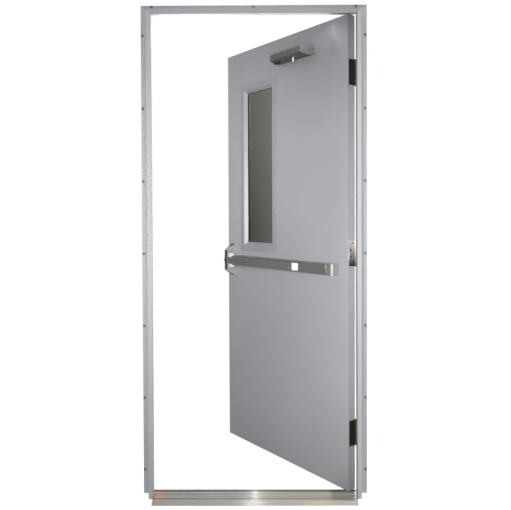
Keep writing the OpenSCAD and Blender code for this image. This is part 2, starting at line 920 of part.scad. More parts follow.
// Head with three sloping sides, drawn in by a wall's thickness for its hollow
module head_form(inset, sink) {
    front = head_d - inset;
    intersection() {
        along(head_s0 + inset, head_s1 - inset) polygon([
            [-sink, -head_h / 2 + inset], [-sink, head_h / 2 - inset],
            [front, head_front_h / 2 - inset], [front, -head_front_h / 2 + inset]]);
        upright(head_h + over) polygon([
            [head_s0 + inset, -sink], [head_s1 - inset, -sink],
            [head_s0 + head_front_w - inset, front], [head_s0 + inset, front]]);
    }
}

// Throat with a bevelled front, towards the rail
module throat_form(inset, sink) {
    front = head_d - inset;
    upright(throat_h - 2 * inset) polygon([
        [throat_s0 + inset, -sink], [head_s0 + 2 * head_wall, -sink], [head_s0 + 2 * head_wall, front],
        [throat_s0 + throat_bevel, front], [throat_s0 + inset, front - throat_bevel + inset]]);
}

module bar_head_cover() {
    latch_room = latch_h / 2 + slip;
    color("gray") on_push() translate([0, 0, bar_z]) difference() {
        union() {
            head_form(0, 0);
            throat_form(0, 0);
        }
        head_form(head_wall, over);
        throat_form(head_wall, over);
        block([throat_s0 - over, rail_wall, -rail_h / 2 + rail_wall],
            [throat_s0 + head_wall + over, head_d - throat_bevel - head_wall, rail_h / 2 - rail_wall]);
        block([throat_s0 - over, pad_low - pad_travel - pad_gap, -pad_h / 2 - pad_gap],
            [pad_s1 + pad_gap, head_d + over, pad_h / 2 + pad_gap]);
        block([head_s0 + head_front_w / 2, latch_low - slip, -latch_room],
            [head_s1 + over, latch_low + latch_t + slip, latch_room]);
    }
}

module bar_rail() {
    inner_h = rail_h - 2 * rail_wall;
    slot_h = pad_h + 2 * pad_gap;
    color("darkgray") on_push() translate([0, 0, bar_z]) along(rail_near, throat_s0) difference() {
        translate([0, -rail_h / 2]) square([rail_d, rail_h]);
        translate([rail_wall, -inner_h / 2]) square([rail_d - 2 * rail_wall, inner_h]);
        translate([rail_wall, -slot_h / 2]) square([rail_d, slot_h]);
    }
}

module bar_rail_cover() {
    color("darkgray") on_push() translate([0, 0, bar_z])
        block([rail_near, rail_d, -rail_h / 2], [pad_near - cover_gap, rail_d + cover_t, rail_h / 2]);
}

// Bevelled cap over the rail's hinge end, drawn in by a wall's thickness for its hollow
module cap_form(inset, sink) {
    upright(rail_h + 2 * cap_lip - 2 * inset) polygon([
        [cap_s0 + inset, -sink], [rail_near + sink, -sink], [rail_near + sink, cap_d - inset],
        [cap_s0 + cap_bevel, cap_d - inset], [cap_s0 + inset, cap_d - cap_bevel]]);
}

module bar_end_cap() {
    color("gray") on_push() translate([0, 0, bar_z]) difference() {
        cap_form(0, 0);
        cap_form(cap_wall, over);
    }
}

module bar_end_bracket() {
    color("gray") on_push() difference() {
        translate([0, 0, bar_z]) {
            block([cap_s0 + cap_wall + fit, 0, -bracket_h / 2], [rail_near, bracket_t, bracket_h / 2]);
            block([rail_near - bracket_t, rail_wall, -bracket_h / 2],
                [rail_near + bracket_tongue, rail_wall + bracket_t, bracket_h / 2]);
        }
        at_bar_screws() mount_hole(chassis_t);
    }
}

// Channel of the push pad, open towards the leaf
module pad_section() {
    difference() {
        translate([pad_low, -pad_h / 2]) square([pad_d - pad_low, pad_h]);
        translate([pad_low - over, -pad_h / 2 + pad_wall])
            square([pad_d - pad_wall - pad_low + over, pad_h - 2 * pad_wall]);
    }
}

module push_pad() {
    flange_h = rail_h - 2 * (rail_wall + pad_flange_gap);
    color("darkgray") on_push() translate([0, 0, bar_z]) {
        along(pad_end_s, pad_s1) pad_section();
        along(pad_end_s, throat_s0 - pad_gap) difference() {
            translate([pad_low, -flange_h / 2]) square([pad_wall, flange_h]);
            translate([pad_low - over, -pad_h / 2 + pad_wall])
                square([pad_wall + 2 * over, pad_h - 2 * pad_wall]);
        }
        block([pad_s1 - pad_wall, pad_low, -pad_h / 2], [pad_s1, pad_d, pad_h / 2]);
    }
}

module push_pad_end() {
    tongue_half = pad_h / 2 - pad_wall;
    color("dimgray") on_push() translate([0, 0, bar_z]) {
        upright(pad_h) polygon([
            [pad_near, pad_low], [pad_near, pad_d - pad_bevel], [pad_near + pad_bevel, pad_d],
            [pad_end_s, pad_d], [pad_end_s, pad_low]]);
        block([pad_end_s - over, pad_d - pad_wall - pad_tongue_t, -tongue_half],
            [pad_end_s + pad_tongue_l, pad_d - pad_wall, tongue_half]);
    }
}

module latch_bolt() {
    latch_high = latch_low + latch_t;
    color("silver") on_push() translate([0, 0, bar_z]) upright(latch_h) polygon([
        [latch_tip - latch_l, latch_low], [latch_tip, latch_low], [latch_tip, latch_low + latch_lip],
        [latch_tip - latch_slope, latch_high], [latch_tip - latch_l, latch_high]]);
}

// Closer

module closer_plate() {
    half = closer_h / 2 - closer_plate_inset;
    color("gray") on_push() difference() {
        block([closer_near - closer_plate_near, 0, closer_z - half],
            [closer_end + closer_plate_far, closer_plate_t, closer_z + half]);
        at_closer_screws() mount_hole(closer_plate_t);
    }
}

module at_spindle() {
    translate([closer_near + spindle_s_share * closer_l, spindle_d_share * closer_d, closer_low])
        children();
}

module at_valves() {
    for (i = [0 : len(valve_d_shares) - 1])
        translate([closer_near, closer_plate_t + valve_d_shares[i] * closer_d,
            closer_z + valve_z_shares[i] * closer_h])
            rotate([0, 90, 0]) children();
}

module at_base_plug() {
    translate([closer_near + base_plug_s_share * closer_l, base_plug_d_share * closer_d, closer_low])
        children();
}

module at_spring_plug() {
    translate([closer_end, (closer_plate_t + closer_d) / 2, closer_z]) rotate([0, 90, 0]) children();
}

// Cast body with a chamfered nose and a sloping top
module closer_section() {
    base = -closer_h / 2;
    front_top = base + closer_nose_rise + closer_front_h;
    polygon([
        [closer_plate_t, base], [closer_d - closer_nose_run, base], [closer_d, base + closer_nose_rise],
        [closer_d, front_top], [closer_d - closer_brow_run, front_top + closer_brow_rise],
        [closer_plate_t + closer_back_run, closer_h / 2], [closer_plate_t, closer_h / 2]]);
}

module closer_body() {
    color("gray") on_push() difference() {
        translate([0, 0, closer_z]) along(closer_near, closer_end) closer_section();
        at_spindle() translate([0, 0, -over])
            cylinder(h = spindle_deep + 2 * over, r = spindle_d / 2 + run_fit);
        at_valves() translate([0, 0, -over]) cylinder(h = valve_t + 2 * over, r = valve_r + fit);
        at_base_plug() translate([0, 0, -over]) cylinder(h = plug_seat + over, r = base_plug_r + fit);
        at_spring_plug() translate([0, 0, -plug_seat])
            cylinder(h = plug_seat + over, r = spring_plug_r + fit);
    }
}

module closer_spindle() {
    color("silver") on_push() at_spindle() difference() {
        translate([0, 0, -spindle_out]) cylinder(h = spindle_out + spindle_deep, d = spindle_d);
        for (side = [0, 1]) mirror([side, 0, 0])
            block([spindle_d / 2 - spindle_flat, -spindle_d, -spindle_out - over],
                [spindle_d, spindle_d, -spindle_out / 2]);
    }
}

module closer_valve_screws() {
    color("silver") on_push() at_valves() translate([0, 0, valve_sink]) cylinder(h = valve_t, r = valve_r);
}

module closer_spring_plug() {
    color("gray") on_push() at_spring_plug()
        translate([0, 0, -plug_seat]) cylinder(h = plug_seat + spring_plug_out, r = spring_plug_r);
}

module closer_base_plug() {
    color("black") on_push() at_base_plug()
        translate([0, 0, -base_plug_out]) cylinder(h = plug_seat + base_plug_out, r = base_plug_r);
}

module closer_screws() {
    color("silver") on_push() at_closer_screws() mount_screw(closer_plate_t);
}

// Space of the tapped plate behind the closer
module closer_back_space(grow) {
    half = closer_h / 2 - closer_plate_inset;
    block([closer_near - closer_plate_near - grow, -skin_t - back_plate_t - grow, closer_z - half - grow],
        [closer_end + closer_plate_far + grow, -skin_t, closer_z + half + grow]);
}

module closer_back_plate() {
    color("gray") on_push() difference() {
        closer_back_space(0);
        at_closer_screws() drill(closer_plate_t + mount_l + over, mount_d / 2 + fit);
    }
}

hinge_jamb();
strike_jamb();
head_jamb();
corner_keys();
threshold();
threshold_screws();
hinge_side_seal();
strike_side_seal();
head_seal();
frame_hinge_leaf(hinge_low);  // frame_hinge_leaf_bottom
frame_hinge_leaf(hinge_mid);  // frame_hinge_leaf_middle
frame_hinge_leaf(hinge_high);  // frame_hinge_leaf_top
frame_hinge_pin(hinge_low);  // hinge_pin_bottom
frame_hinge_pin(hinge_mid);  // hinge_pin_middle
frame_hinge_pin(hinge_high);  // hinge_pin_top
frame_hinge_plates();
frame_hinge_screws();
push_face_sheet();
pull_face_sheet();
hinge_stile();
lock_stile();
top_channel();
bottom_channel();
door_core();
door_hinge_leaf(hinge_low);  // door_hinge_leaf_bottom
door_hinge_leaf(hinge_mid);  // door_hinge_leaf_middle
door_hinge_leaf(hinge_high);  // door_hinge_leaf_top
door_hinge_plates();
door_hinge_screws();
inner_lite_frame();
outer_lite_frame();
lite_glass();
glazing_tapes();
setting_blocks();
lite_bolts();
bar_chassis();
bar_head_cover();
bar_rail();
bar_rail_cover();
bar_end_cap();
bar_end_bracket();
bar_screws();
lock_back_plate();
push_pad();
push_pad_end();
latch_bolt();
closer_plate();
closer_body();
closer_spindle();
closer_valve_screws();
closer_spring_plug();
closer_base_plug();
closer_screws();
closer_back_plate();
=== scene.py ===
# %% [markdown]
# # An exit door, dressed for a portrait
#
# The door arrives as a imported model: a flanged aluminium frame, a steel leaf on three hinges, a glazed lite,
# a push bar and a closer. Every solid already stands in its place. What is left for Blender is what the eye
# reads first: softened edges, screw heads, finishes and light. The lesson goes from small helpers to finishes,
# then piece by piece, and ends with the studio.

# %% Load the frame
import bmesh
import bpy
import json
import math
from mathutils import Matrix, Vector


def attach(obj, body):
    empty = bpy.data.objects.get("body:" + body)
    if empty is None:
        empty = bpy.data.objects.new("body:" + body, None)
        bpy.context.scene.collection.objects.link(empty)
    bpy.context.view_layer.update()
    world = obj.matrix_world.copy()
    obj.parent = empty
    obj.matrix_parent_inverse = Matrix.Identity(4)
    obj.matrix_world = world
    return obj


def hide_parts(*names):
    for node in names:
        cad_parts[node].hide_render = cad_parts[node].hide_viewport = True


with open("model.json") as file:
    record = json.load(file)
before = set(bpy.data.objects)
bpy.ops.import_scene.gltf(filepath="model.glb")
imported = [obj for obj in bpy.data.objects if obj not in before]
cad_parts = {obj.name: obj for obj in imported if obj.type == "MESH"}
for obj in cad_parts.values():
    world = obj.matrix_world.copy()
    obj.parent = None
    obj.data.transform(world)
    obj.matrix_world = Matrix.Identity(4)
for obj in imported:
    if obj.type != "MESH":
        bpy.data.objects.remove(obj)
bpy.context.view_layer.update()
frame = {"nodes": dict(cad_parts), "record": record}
nodes = frame["nodes"]
record = frame["record"]

# %% [markdown]
# Sizes are written in millimetres, because that is how a door is drawn, and turned into metres in one place.
# Colours are written as the sRGB hex that a paint chart or a picture gives, and one function makes them linear.
# One more function adds a node to any tree, with its settings and its links, so every tree below reads as a list.

# %% Units, colours and one way to add a node
MM = 0.001


def linear(hex_colour):
    """An sRGB hex colour as linear RGBA."""
    parts = [int(hex_colour[i:i + 2], 16) / 255 for i in (1, 3, 5)]
    return [c / 12.92 if c <= 0.04045 else ((c + 0.055) / 1.055) ** 2.4 for c in parts] + [1.0]


def add_node(tree, kind, inputs=None, **settings):
    """Adds a node, sets its properties, and fills each named input with a value or a link."""
    node = tree.nodes.new(kind)
    for name, value in settings.items():
        setattr(node, name, value)
    for name, value in (inputs or {}).items():
        if isinstance(value, bpy.types.NodeSocket):
            tree.links.new(value, node.inputs[name])
        else:
            node.inputs[name].default_value = value
    return node


print("middle grey of the leaf, linear:", [round(c, 3) for c in linear("#A2A3A7")])

# %% [markdown]
# Each finish starts the same way: an empty tree, a Principled shader and an output. What never changes over a
# surface, such as metallic or IOR, is set straight on the shader. What does change, such as colour, roughness
# and bump, comes from patterns on Object coordinates, which here are metres in the door's own frame.

# %% Start a finish
# Noise seldom leaves this stretch, so the two tones are set at its ends
MIDDLE = (0.3, 0.7)
# A pattern squeezed to this stretch stays near its light tone
PALE = (0.62, 0.72)
# Length over which one zone of a piece turns into the next
STEP = 0.1 * MM
# How far a slow fade goes on past each end of its piece, as a share of the piece
BEYOND_SHARE = 0.75
# The leaf's own axes: from its hinges to its free edge, out of its push face, and up
OPEN_ANGLE = math.radians(51)
ALONG = Vector((-math.cos(OPEN_ANGLE), math.sin(OPEN_ANGLE), 0))
OUT = Vector((-math.sin(OPEN_ANGLE), -math.cos(OPEN_ANGLE), 0))
UP = Vector((0, 0, 1))


def start_finish(name, **sockets):
    """A material with a Principled shader, its constant sockets set; gives the material, tree and shader."""
    material = bpy.data.materials.new(name)
    material.use_nodes = True
    tree = material.node_tree
    tree.nodes.clear()
    shader = add_node(tree, "ShaderNodeBsdfPrincipled",
                      {key.replace("_", " ").title().replace("Ior", "IOR"): value for key, value in sockets.items()})
    add_node(tree, "ShaderNodeOutputMaterial", {"Surface": shader.outputs["BSDF"]})
    return material, tree, shader


def grain(tree, cell_mm, detail=3.0, roughness=0.55):
    """Noise whose cells measure cell_mm along X, Y and Z."""
    place = add_node(tree, "ShaderNodeTexCoord")
    scale = add_node(tree, "ShaderNodeMapping", {"Vector": place.outputs["Object"],
                                                "Scale": [1 / (size * MM) for size in cell_mm]})
    noise = add_node(tree, "ShaderNodeTexNoise", {"Vector": scale.outputs["Vector"], "Scale": 1.0,
                                                  "Detail": detail, "Roughness": roughness})
    return noise.outputs["Fac"]


def fade(tree, axis, start, end):
    """Nought before start along an axis and one after end, so that a piece can change along its length."""
    place = add_node(tree, "ShaderNodeTexCoord")
    along = add_node(tree, "ShaderNodeVectorMath", {0: place.outputs["Object"], 1: axis}, operation="DOT_PRODUCT")
    share = add_node(tree, "ShaderNodeMapRange", {"Value": along.outputs["Value"], "From Min": start, "From Max": end})
    return share.outputs["Result"]


def vary(tree, shader, pattern, tones, rough, relief=None):
    """Lets a pattern move colour and roughness between two values; relief is a pattern, its depth and strength."""
    ramp = add_node(tree, "ShaderNodeValToRGB", {"Fac": pattern})
    for element, tone, position in zip(ramp.color_ramp.elements, tones, MIDDLE):
        element.color = linear(tone)
        element.position = position
    spread = add_node(tree, "ShaderNodeMapRange", {"Value": pattern, "From Min": MIDDLE[0], "From Max": MIDDLE[1],
                                                   "To Min": rough[0], "To Max": rough[1]})
    tree.links.new(ramp.outputs["Color"], shader.inputs["Base Color"])
    tree.links.new(spread.outputs["Result"], shader.inputs["Roughness"])
    if relief:
        height, depth_mm, strength = relief
        bump = add_node(tree, "ShaderNodeBump", {"Height": height, "Distance": depth_mm * MM, "Strength": strength})
        tree.links.new(bump.outputs["Normal"], shader.inputs["Normal"])


def darkened(tree, pattern, zones):
    """Keeps a pattern near its light end, and at its dark end in zones, each past a place along an axis."""
    pale = add_node(tree, "ShaderNodeMapRange", {"Value": pattern, "To Min": PALE[0], "To Max": PALE[1]})
    kept = pale.outputs["Result"]
    for axis, limit in zones:
        part = add_node(tree, "ShaderNodeMath", {0: kept, 1: fade(tree, axis, limit + STEP, limit)},
                        operation="MULTIPLY")
        kept = part.outputs["Value"]
    return kept


def span(node, axis):
    """Where a node begins and ends along an axis."""
    reach = [v.co.dot(axis) for v in nodes[node].data.vertices]
    return min(reach), max(reach)


def rim(node, axis, width_mm):
    """The zone of a node that lies within width_mm of its far end along an axis."""
    return axis, span(node, axis)[1] - width_mm * MM


def slow_fade(tree, node, axis):
    """A fade along a node that starts before it and ends after it, so neither tone is quite reached."""
    low, high = span(node, axis)
    more = BEYOND_SHARE * (high - low)
    return fade(tree, axis, low - more, high + more)


print("leaf axes:", tuple(ALONG), tuple(OUT))

# %% [markdown]
# ## Mill-finish aluminium
# The frame and the threshold are extrusions that were never polished or painted. The die leaves draw lines along
# each length, and handling leaves faint clouds. The lines are really a few tenths of a millimetre wide. They are
# drawn 3 mm wide here, because finer ones would vanish at this distance. The jambs are drawn along Z, and the
# head and threshold along X, so one function takes the direction. The two jambs and the head are one metal, with
# tones set apart as painted light and shade. Two places differ from the rest. The hinge jamb's stop ends in an
# arris painted dark, as the leaf's shade on it. The threshold has long bands, a ramp painted lighter as light, and
# a rear land painted dark as shade under the leaf, and its fine lines stretch each reflection into a streak across
# its length.

# %% Mill-finish aluminium
# Width and length of a draw line, size of the clouds, and length and width of the threshold's bands, in mm
DRAW_MM = 3
RUN_MM = 900
CLOUDS = (160, 160, 160)
BANDS = (1500, 14, 14)
UPRIGHT = (DRAW_MM, DRAW_MM, RUN_MM)
LEVEL = (RUN_MM, DRAW_MM, DRAW_MM)
# Depth in mm and strength of the lines' relief
MILL_RELIEF = (0.05, 0.5)
MILL_ROUGH = (0.58, 0.7)
TREAD_ROUGH = (0.2, 0.26)
# Where the arris painted as shade, the ramp painted as light and the rear land painted as shade begin, in mm, and how
# much the painted light lifts the ramp
ARRIS_X = 450.0
RAMP_Y = 95
LAND_Y = -12
RAMP_PAINTED_LIGHT = 0.3
# Share of Y and of Z in the direction across the threshold's lines, so that level and upright faces both have one
LEAN = 0.7


def mill_aluminium(name, cell_mm, cloud_mm, tones, rough, change=None, **sockets):
    """Aluminium with draw lines of that cell, over soft clouds; change alters the pattern at one place."""
    material, tree, shader = start_finish(name, **sockets)
    lines = grain(tree, cell_mm, detail=4.0)
    clouds = grain(tree, cloud_mm, detail=2.0)
    both = add_node(tree, "ShaderNodeMath", {0: lines, 1: clouds}, operation="ADD")
    half = add_node(tree, "ShaderNodeMath", {0: both.outputs["Value"], 1: 0.5}, operation="MULTIPLY")
    pattern = half.outputs["Value"]
    vary(tree, shader, change(tree, pattern) if change else pattern, tones, rough, (lines, *MILL_RELIEF))
    return material, tree, shader


def arris_painted_shade(tree, pattern):
    """The hinge jamb's stop, whose last few millimetres are painted dark as the leaf's shade."""
    return darkened(tree, pattern, [((-1, 0, 0), -ARRIS_X * MM)])


def threshold_painted_light_and_shade(tree, pattern):
    """The threshold's front ramp, painted lighter as light, and its rear land, painted dark as shade under the leaf.
    """
    ramp = fade(tree, (0, -1, 0), RAMP_Y * MM, RAMP_Y * MM + STEP)
    lighter = add_node(tree, "ShaderNodeMath", {0: ramp, 1: RAMP_PAINTED_LIGHT, 2: pattern}, operation="MULTIPLY_ADD")
    kept = add_node(tree, "ShaderNodeMath", {0: lighter.outputs["Value"],
                                             1: fade(tree, (0, 1, 0), LAND_Y * MM + STEP, LAND_Y * MM)},
                    operation="MULTIPLY")
    return kept.outputs["Value"]


# The eye gets dull, cool silver with faint lines along each length, in three tones of painted light and shade
strike_aluminium, _, _ = mill_aluminium("jamb_mill_aluminium", UPRIGHT, CLOUDS, ("#909295", "#9FA1A3"),
                                        MILL_ROUGH, metallic=1.0)
# The hinge jamb's stop arris is painted dark, as painted shade from the leaf
hinge_aluminium, _, _ = mill_aluminium("hinge_jamb_mill_aluminium", UPRIGHT, CLOUDS, ("#5E6062", "#A9ABAD"),
                                       MILL_ROUGH, arris_painted_shade, metallic=1.0)
head_aluminium, _, _ = mill_aluminium("head_mill_aluminium", LEVEL, CLOUDS, ("#888A8D", "#95979A"),
                                      MILL_ROUGH, metallic=1.0)
# The eye gets warm bands, a ramp painted lighter as light, and one streak of light across them
threshold_aluminium, tree, shader = mill_aluminium("threshold_mill_aluminium", LEVEL, BANDS, ("#605D55", "#DCD9D0"),
                                                   TREAD_ROUGH, threshold_painted_light_and_shade, metallic=0.18,
                                                   specular_ior_level=0.3, anisotropic=0.97)
across = add_node(tree, "ShaderNodeCombineXYZ", {"Y": LEAN, "Z": LEAN})
tree.links.new(across.outputs["Vector"], shader.inputs["Tangent"])
print("four extruded finishes")

# %% [markdown]
# ## Grey primer
# The leaf and the lite's frames are galvanised sheet with a baked grey primer. Sprayed primer is dull, slightly
# blue, and has a faint orange peel about 4 mm from crest to crest. Large soft clouds keep the big face from
# looking like plastic. The lite's frames take a copy painted a little darker, as painted shade on their slopes.

# %% Grey primer
# Size in mm of the clouds and of the orange peel
PAINT_CLOUDS = (420, 420, 420)
PEEL = (4, 4, 4)
# The eye gets an even, cool grey with a soft sheen
leaf_paint, tree, shader = start_finish("leaf_grey_primer", ior=1.5, specular_ior_level=0.5)
clouds = grain(tree, PAINT_CLOUDS, detail=2.0)
peel = grain(tree, PEEL, detail=2.0)
vary(tree, shader, clouds, ("#9FA0A5", "#A6A7AB"), (0.36, 0.46), (peel, 0.04, 0.35))

# The eye gets the same grey painted a little darker, as shade, and smoother, so that its bevels flash
lite_shaded_paint, tree, shader = start_finish("lite_grey_primer_shade_copy", ior=1.5, specular_ior_level=0.5)
clouds = grain(tree, PAINT_CLOUDS, detail=2.0)
vary(tree, shader, clouds, ("#94969A", "#9B9DA1"), (0.26, 0.3))
print("primers:", leaf_paint.name, lite_shaded_paint.name)

# %% [markdown]
# ## Steels
# Hinges are satin steel, brushed down their height. The top and bottom ones are painted dark, as painted shade,
# and the middle one is painted bright as a reflection, the more so towards its top. Hidden channels and plates are
# zinc plated, which crystallises into a spangle some 12 mm across: a Voronoi pattern draws its flakes. Screws are
# bright zinc. Brush lines are drawn 1.5 mm wide, coarser than real ones, so that they hold at this distance.

# %% Steels
# Cell of the hinges' brush lines and width of a spangle flake, in mm
BRUSH = (1.5, 1.5, 60)
SPANGLE_MM = 12
HINGE_ROUGH = (0.3, 0.42)
# Depth in mm and strength of the brush lines' relief
BRUSH_RELIEF = (0.01, 0.3)
# The eye gets near black with a brown cast, the same steel painted as shade
hinge_steel_painted_shade, tree, shader = start_finish("hinge_steel_shade_copy", metallic=0.8)
brush = grain(tree, BRUSH, detail=4.0)
vary(tree, shader, brush, ("#45453A", "#5F5E51"), HINGE_ROUGH, (brush, *BRUSH_RELIEF))

# The eye gets the same steel with a painted reflection, pale at the top and darkening downwards
hinge_steel_painted_reflection, tree, shader = start_finish("hinge_steel_reflection_copy", metallic=0.6)
brush = grain(tree, BRUSH, detail=4.0)
painted_reflection = slow_fade(tree, "door_hinge_leaf_middle", UP)
vary(tree, shader, painted_reflection, ("#4A4945", "#EBE9E1"), HINGE_ROUGH, (brush, *BRUSH_RELIEF))

# The eye gets flat grey flakes
plated_steel, tree, shader = start_finish("zinc_plated_sheet", metallic=1.0)
place = add_node(tree, "ShaderNodeTexCoord")
flakes = add_node(tree, "ShaderNodeTexVoronoi", {"Vector": place.outputs["Object"], "Scale": 1 / (SPANGLE_MM * MM)})
shade = add_node(tree, "ShaderNodeSeparateColor", {"Color": flakes.outputs["Color"]})
vary(tree, shader, shade.outputs["Red"], ("#969A9D", "#A6A9AC"), (0.38, 0.46))

# The eye gets small bright points
screw_steel, tree, shader = start_finish("screw_bright_zinc", metallic=1.0)
vary(tree, shader, grain(tree, (0.6, 0.6, 0.6), detail=2.0), ("#A2A4A2", "#C2C4C2"), (0.22, 0.36))

# The eye gets the palest metal on the leaf
latch_steel, tree, shader = start_finish("latch_satin_steel", metallic=1.0)
vary(tree, shader, grain(tree, (1.2, 1.2, 25), detail=3.0), ("#B4B4B0", "#D0D0CC"), (0.26, 0.38))
print("steels:", hinge_steel_painted_shade.name, hinge_steel_painted_reflection.name, plated_steel.name, screw_steel.name, latch_steel.name)

# %% [markdown]
# ## Push bar and closer
# The rail and pad are anodised aluminium, brushed along their length, a dark pewter. The head, the rail's cap and
# the pad's end are die castings in matching lacquer. The closer is cast, with a fine textured paint. The bar runs
# along the leaf, which stands 51 degrees open, so its brush lines are turned by a Mapping node. The head's sides
# and cut corners are painted dark as shade, and so is a thin rim on the cap and the pad's end. The closer's end face
# is painted lighter than its body, as painted light, and its plate lies between the two.

# %% Push bar and closer finishes
# Length and width of the bar's brush lines, and cells of the lacquer's and the paint's speckle, in mm
BAR_BRUSH = (300, 2, 2)
LACQUER = (2.5, 2.5, 2.5)
TEXTURE = (1.8, 1.8, 1.8)
# The eye gets dark pewter with lines along the bar
bar_metal, tree, shader = start_finish("bar_brushed_anodising", metallic=0.75)
place = add_node(tree, "ShaderNodeTexCoord")
turn = add_node(tree, "ShaderNodeMapping", {"Vector": place.outputs["Object"], "Rotation": (0, 0, OPEN_ANGLE)})
stretch = add_node(tree, "ShaderNodeMapping", {"Vector": turn.outputs["Vector"],
                                               "Scale": [1 / (size * MM) for size in BAR_BRUSH]})
brush = add_node(tree, "ShaderNodeTexNoise", {"Vector": stretch.outputs["Vector"], "Scale": 1.0, "Detail": 4.0})
vary(tree, shader, brush.outputs["Fac"], ("#868481", "#979592"), (0.26, 0.4), (brush.outputs["Fac"], 0.02, 0.4))


def lacquered_casting(name, zones, tones, metallic=0.3):
    """A speckled lacquer that is painted dark in some zones, as shade."""
    material, tree, shader = start_finish(name, metallic=metallic)
    speck = grain(tree, LACQUER, detail=3.0)
    vary(tree, shader, darkened(tree, speck, zones), tones, (0.46, 0.4))
    return material


# Rise of the head's cut corners, and widths of the zones and rims painted dark as shade, in mm
CORNER = 1.9
SIDE_MM = 43
CORNER_MM = 15
RIM_MM = 0.6
END_MM = 1
head_painted_shade_zones = [rim("bar_head_cover", ALONG, SIDE_MM)]
for side in (-1, 1):
    head_painted_shade_zones.append(rim("bar_head_cover", (ALONG + Vector((0, 0, side * CORNER))).normalized(), CORNER_MM))
# The eye gets a pale front face between sides painted dark as shade, and pale ends with an outline of painted shade
head_casting = lacquered_casting("bar_head_lacquer", head_painted_shade_zones, ("#454543", "#ACACAB"))
cap_casting = lacquered_casting("bar_cap_lacquer", [rim("bar_end_cap", OUT, RIM_MM)], ("#757471", "#949493"),
                                metallic=0.1)
pad_end_casting = lacquered_casting("pad_end_lacquer", [rim("push_pad_end", OUT, RIM_MM)], ("#757471", "#A2A2A1"))

# The body's paint stays in this stretch, near its dark tone, and the end face takes the light one as painted light
DULL = (0.29, 0.36)
PAINT_ROUGH = (0.34, 0.48)
# The eye gets a dark, grainy body with an end painted lighter, as light
closer_paint, tree, shader = start_finish("closer_textured_paint", metallic=0.5, ior=1.5)
fine = grain(tree, TEXTURE, detail=3.0)
# The end face's lighter tone is painted light
end_axis, end_from = rim("closer_body", -ALONG, END_MM)
end = fade(tree, end_axis, end_from, end_from + STEP)
dull = add_node(tree, "ShaderNodeMapRange", {"Value": fine, "To Min": DULL[0], "To Max": DULL[1]})
paint = add_node(tree, "ShaderNodeMath", {0: dull.outputs["Result"], 1: end}, operation="MAXIMUM")
vary(tree, shader, paint.outputs["Value"], ("#56554E", "#848786"), PAINT_ROUGH, (fine, 0.05, 0.5))

plate_paint, tree, shader = start_finish("closer_plate_paint", metallic=0.5, ior=1.5)
vary(tree, shader, grain(tree, TEXTURE, detail=3.0), ("#70706C", "#7E7E7A"), PAINT_ROUGH)
print("bar and closer finishes")

# %% [markdown]
# ## Glass, rubber, board and plastic
# Fire glass is laminated and thick, so it looks grey-green and lets only part of the light through. It is painted a
# little darker towards the leaf's free edge, as shade. The tapes are grey rubber and the seals black, the core is a
# pressed board, and the closer's base plug is black plastic.

# %% Glass, rubber, board and plastic
# Cells of the rubber's, the board's and the plastic's grain, in mm
RUBBER_GRAIN = (6, 6, 6)
BOARD_GRAIN = (5, 5, 5)
PLASTIC_GRAIN = (1, 1, 1)
RUBBER_ROUGH = (0.55, 0.75)
# The eye gets dark grey-green, slightly paler towards the hinges, with painted shade towards the free edge
lite_glass, tree, shader = start_finish("lite_laminated_glass", ior=1.52, transmission_weight=1.0)
shade = slow_fade(tree, "lite_glass", -ALONG)
vary(tree, shader, shade, ("#3A3D37", "#5E6159"), (0.02, 0.05))

# The eye gets a soft grey line round the glass
tape_rubber, tree, shader = start_finish("tape_grey_rubber", ior=1.5, specular_ior_level=0.3)
vary(tree, shader, grain(tree, RUBBER_GRAIN, detail=3.0), ("#4A4C4A", "#5A5C5A"), RUBBER_ROUGH)

# The eye gets black without shine
rubber, tree, shader = start_finish("seal_black_rubber", ior=1.5, specular_ior_level=0.3)
vary(tree, shader, grain(tree, RUBBER_GRAIN, detail=3.0), ("#191919", "#2A2A29"), RUBBER_ROUGH)

# The eye gets a straw brown, if the leaf is ever opened
board, tree, shader = start_finish("core_pressed_board", ior=1.45)
vary(tree, shader, grain(tree, BOARD_GRAIN, detail=5.0), ("#8B7453", "#B79F78"), (0.7, 0.9))

# The eye gets the darkest spot on the closer
black_plastic, tree, shader = start_finish("plug_black_plastic", ior=1.46)
vary(tree, shader, grain(tree, PLASTIC_GRAIN, detail=2.0), ("#101010", "#1B1B1A"), (0.45, 0.6))
print("glass, rubber, board and plastic")

# %% [markdown]
# ## Softened edges
# A CAD solid has knife edges, and real metal never does: an extrusion has a radius of some tenths of a millimetre,
# a casting a millimetre or two. A Bevel modifier would do, but it can't tell a long arris from the rim of a small
# hole. So the copy is merged, its flat faces are joined, and only sharp edges that are long enough are bevelled.
# The copy then stands for its node, and the node stays behind as the frame.

# %% Softened copies of the solids
body_of = {node: body for body, names in record["behaviour"]["bodies"].items() for node in names}
# Edges sharper than this are bevelled and shade as edges, and faces flatter than FLAT are joined
SHARP = math.radians(30)
FLAT = math.radians(0.4)
WELD = 1e-6
# An edge is bevelled if it is this many times as long as its bevel is wide
LONG_ENOUGH = 3
# Two places this close, in metres, are one
SAME = 1e-5


def merged_copy(node):
    """A bmesh of a node with its loose triangles merged and its flat faces joined."""
    bm = bmesh.new()
    bm.from_mesh(nodes[node].data)
    bmesh.ops.remove_doubles(bm, verts=bm.verts, dist=WELD)
    bmesh.ops.dissolve_limit(bm, angle_limit=FLAT, verts=bm.verts, edges=bm.edges)
    return bm


def finish_piece(mesh, name, finish, node_names):
    """Makes the piece: smooth shading up to 30 degrees, finish, body and the nodes it stands for."""
    mesh.polygons.foreach_set("use_smooth", [True] * len(mesh.polygons))
    mesh.set_sharp_from_angle(angle=SHARP)
    mesh.materials.clear()
    mesh.materials.append(finish)
    piece = bpy.data.objects.new(name, mesh)
    bpy.context.scene.collection.objects.link(piece)
    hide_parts(*node_names)
    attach(piece, body_of[node_names[0]])
    return piece


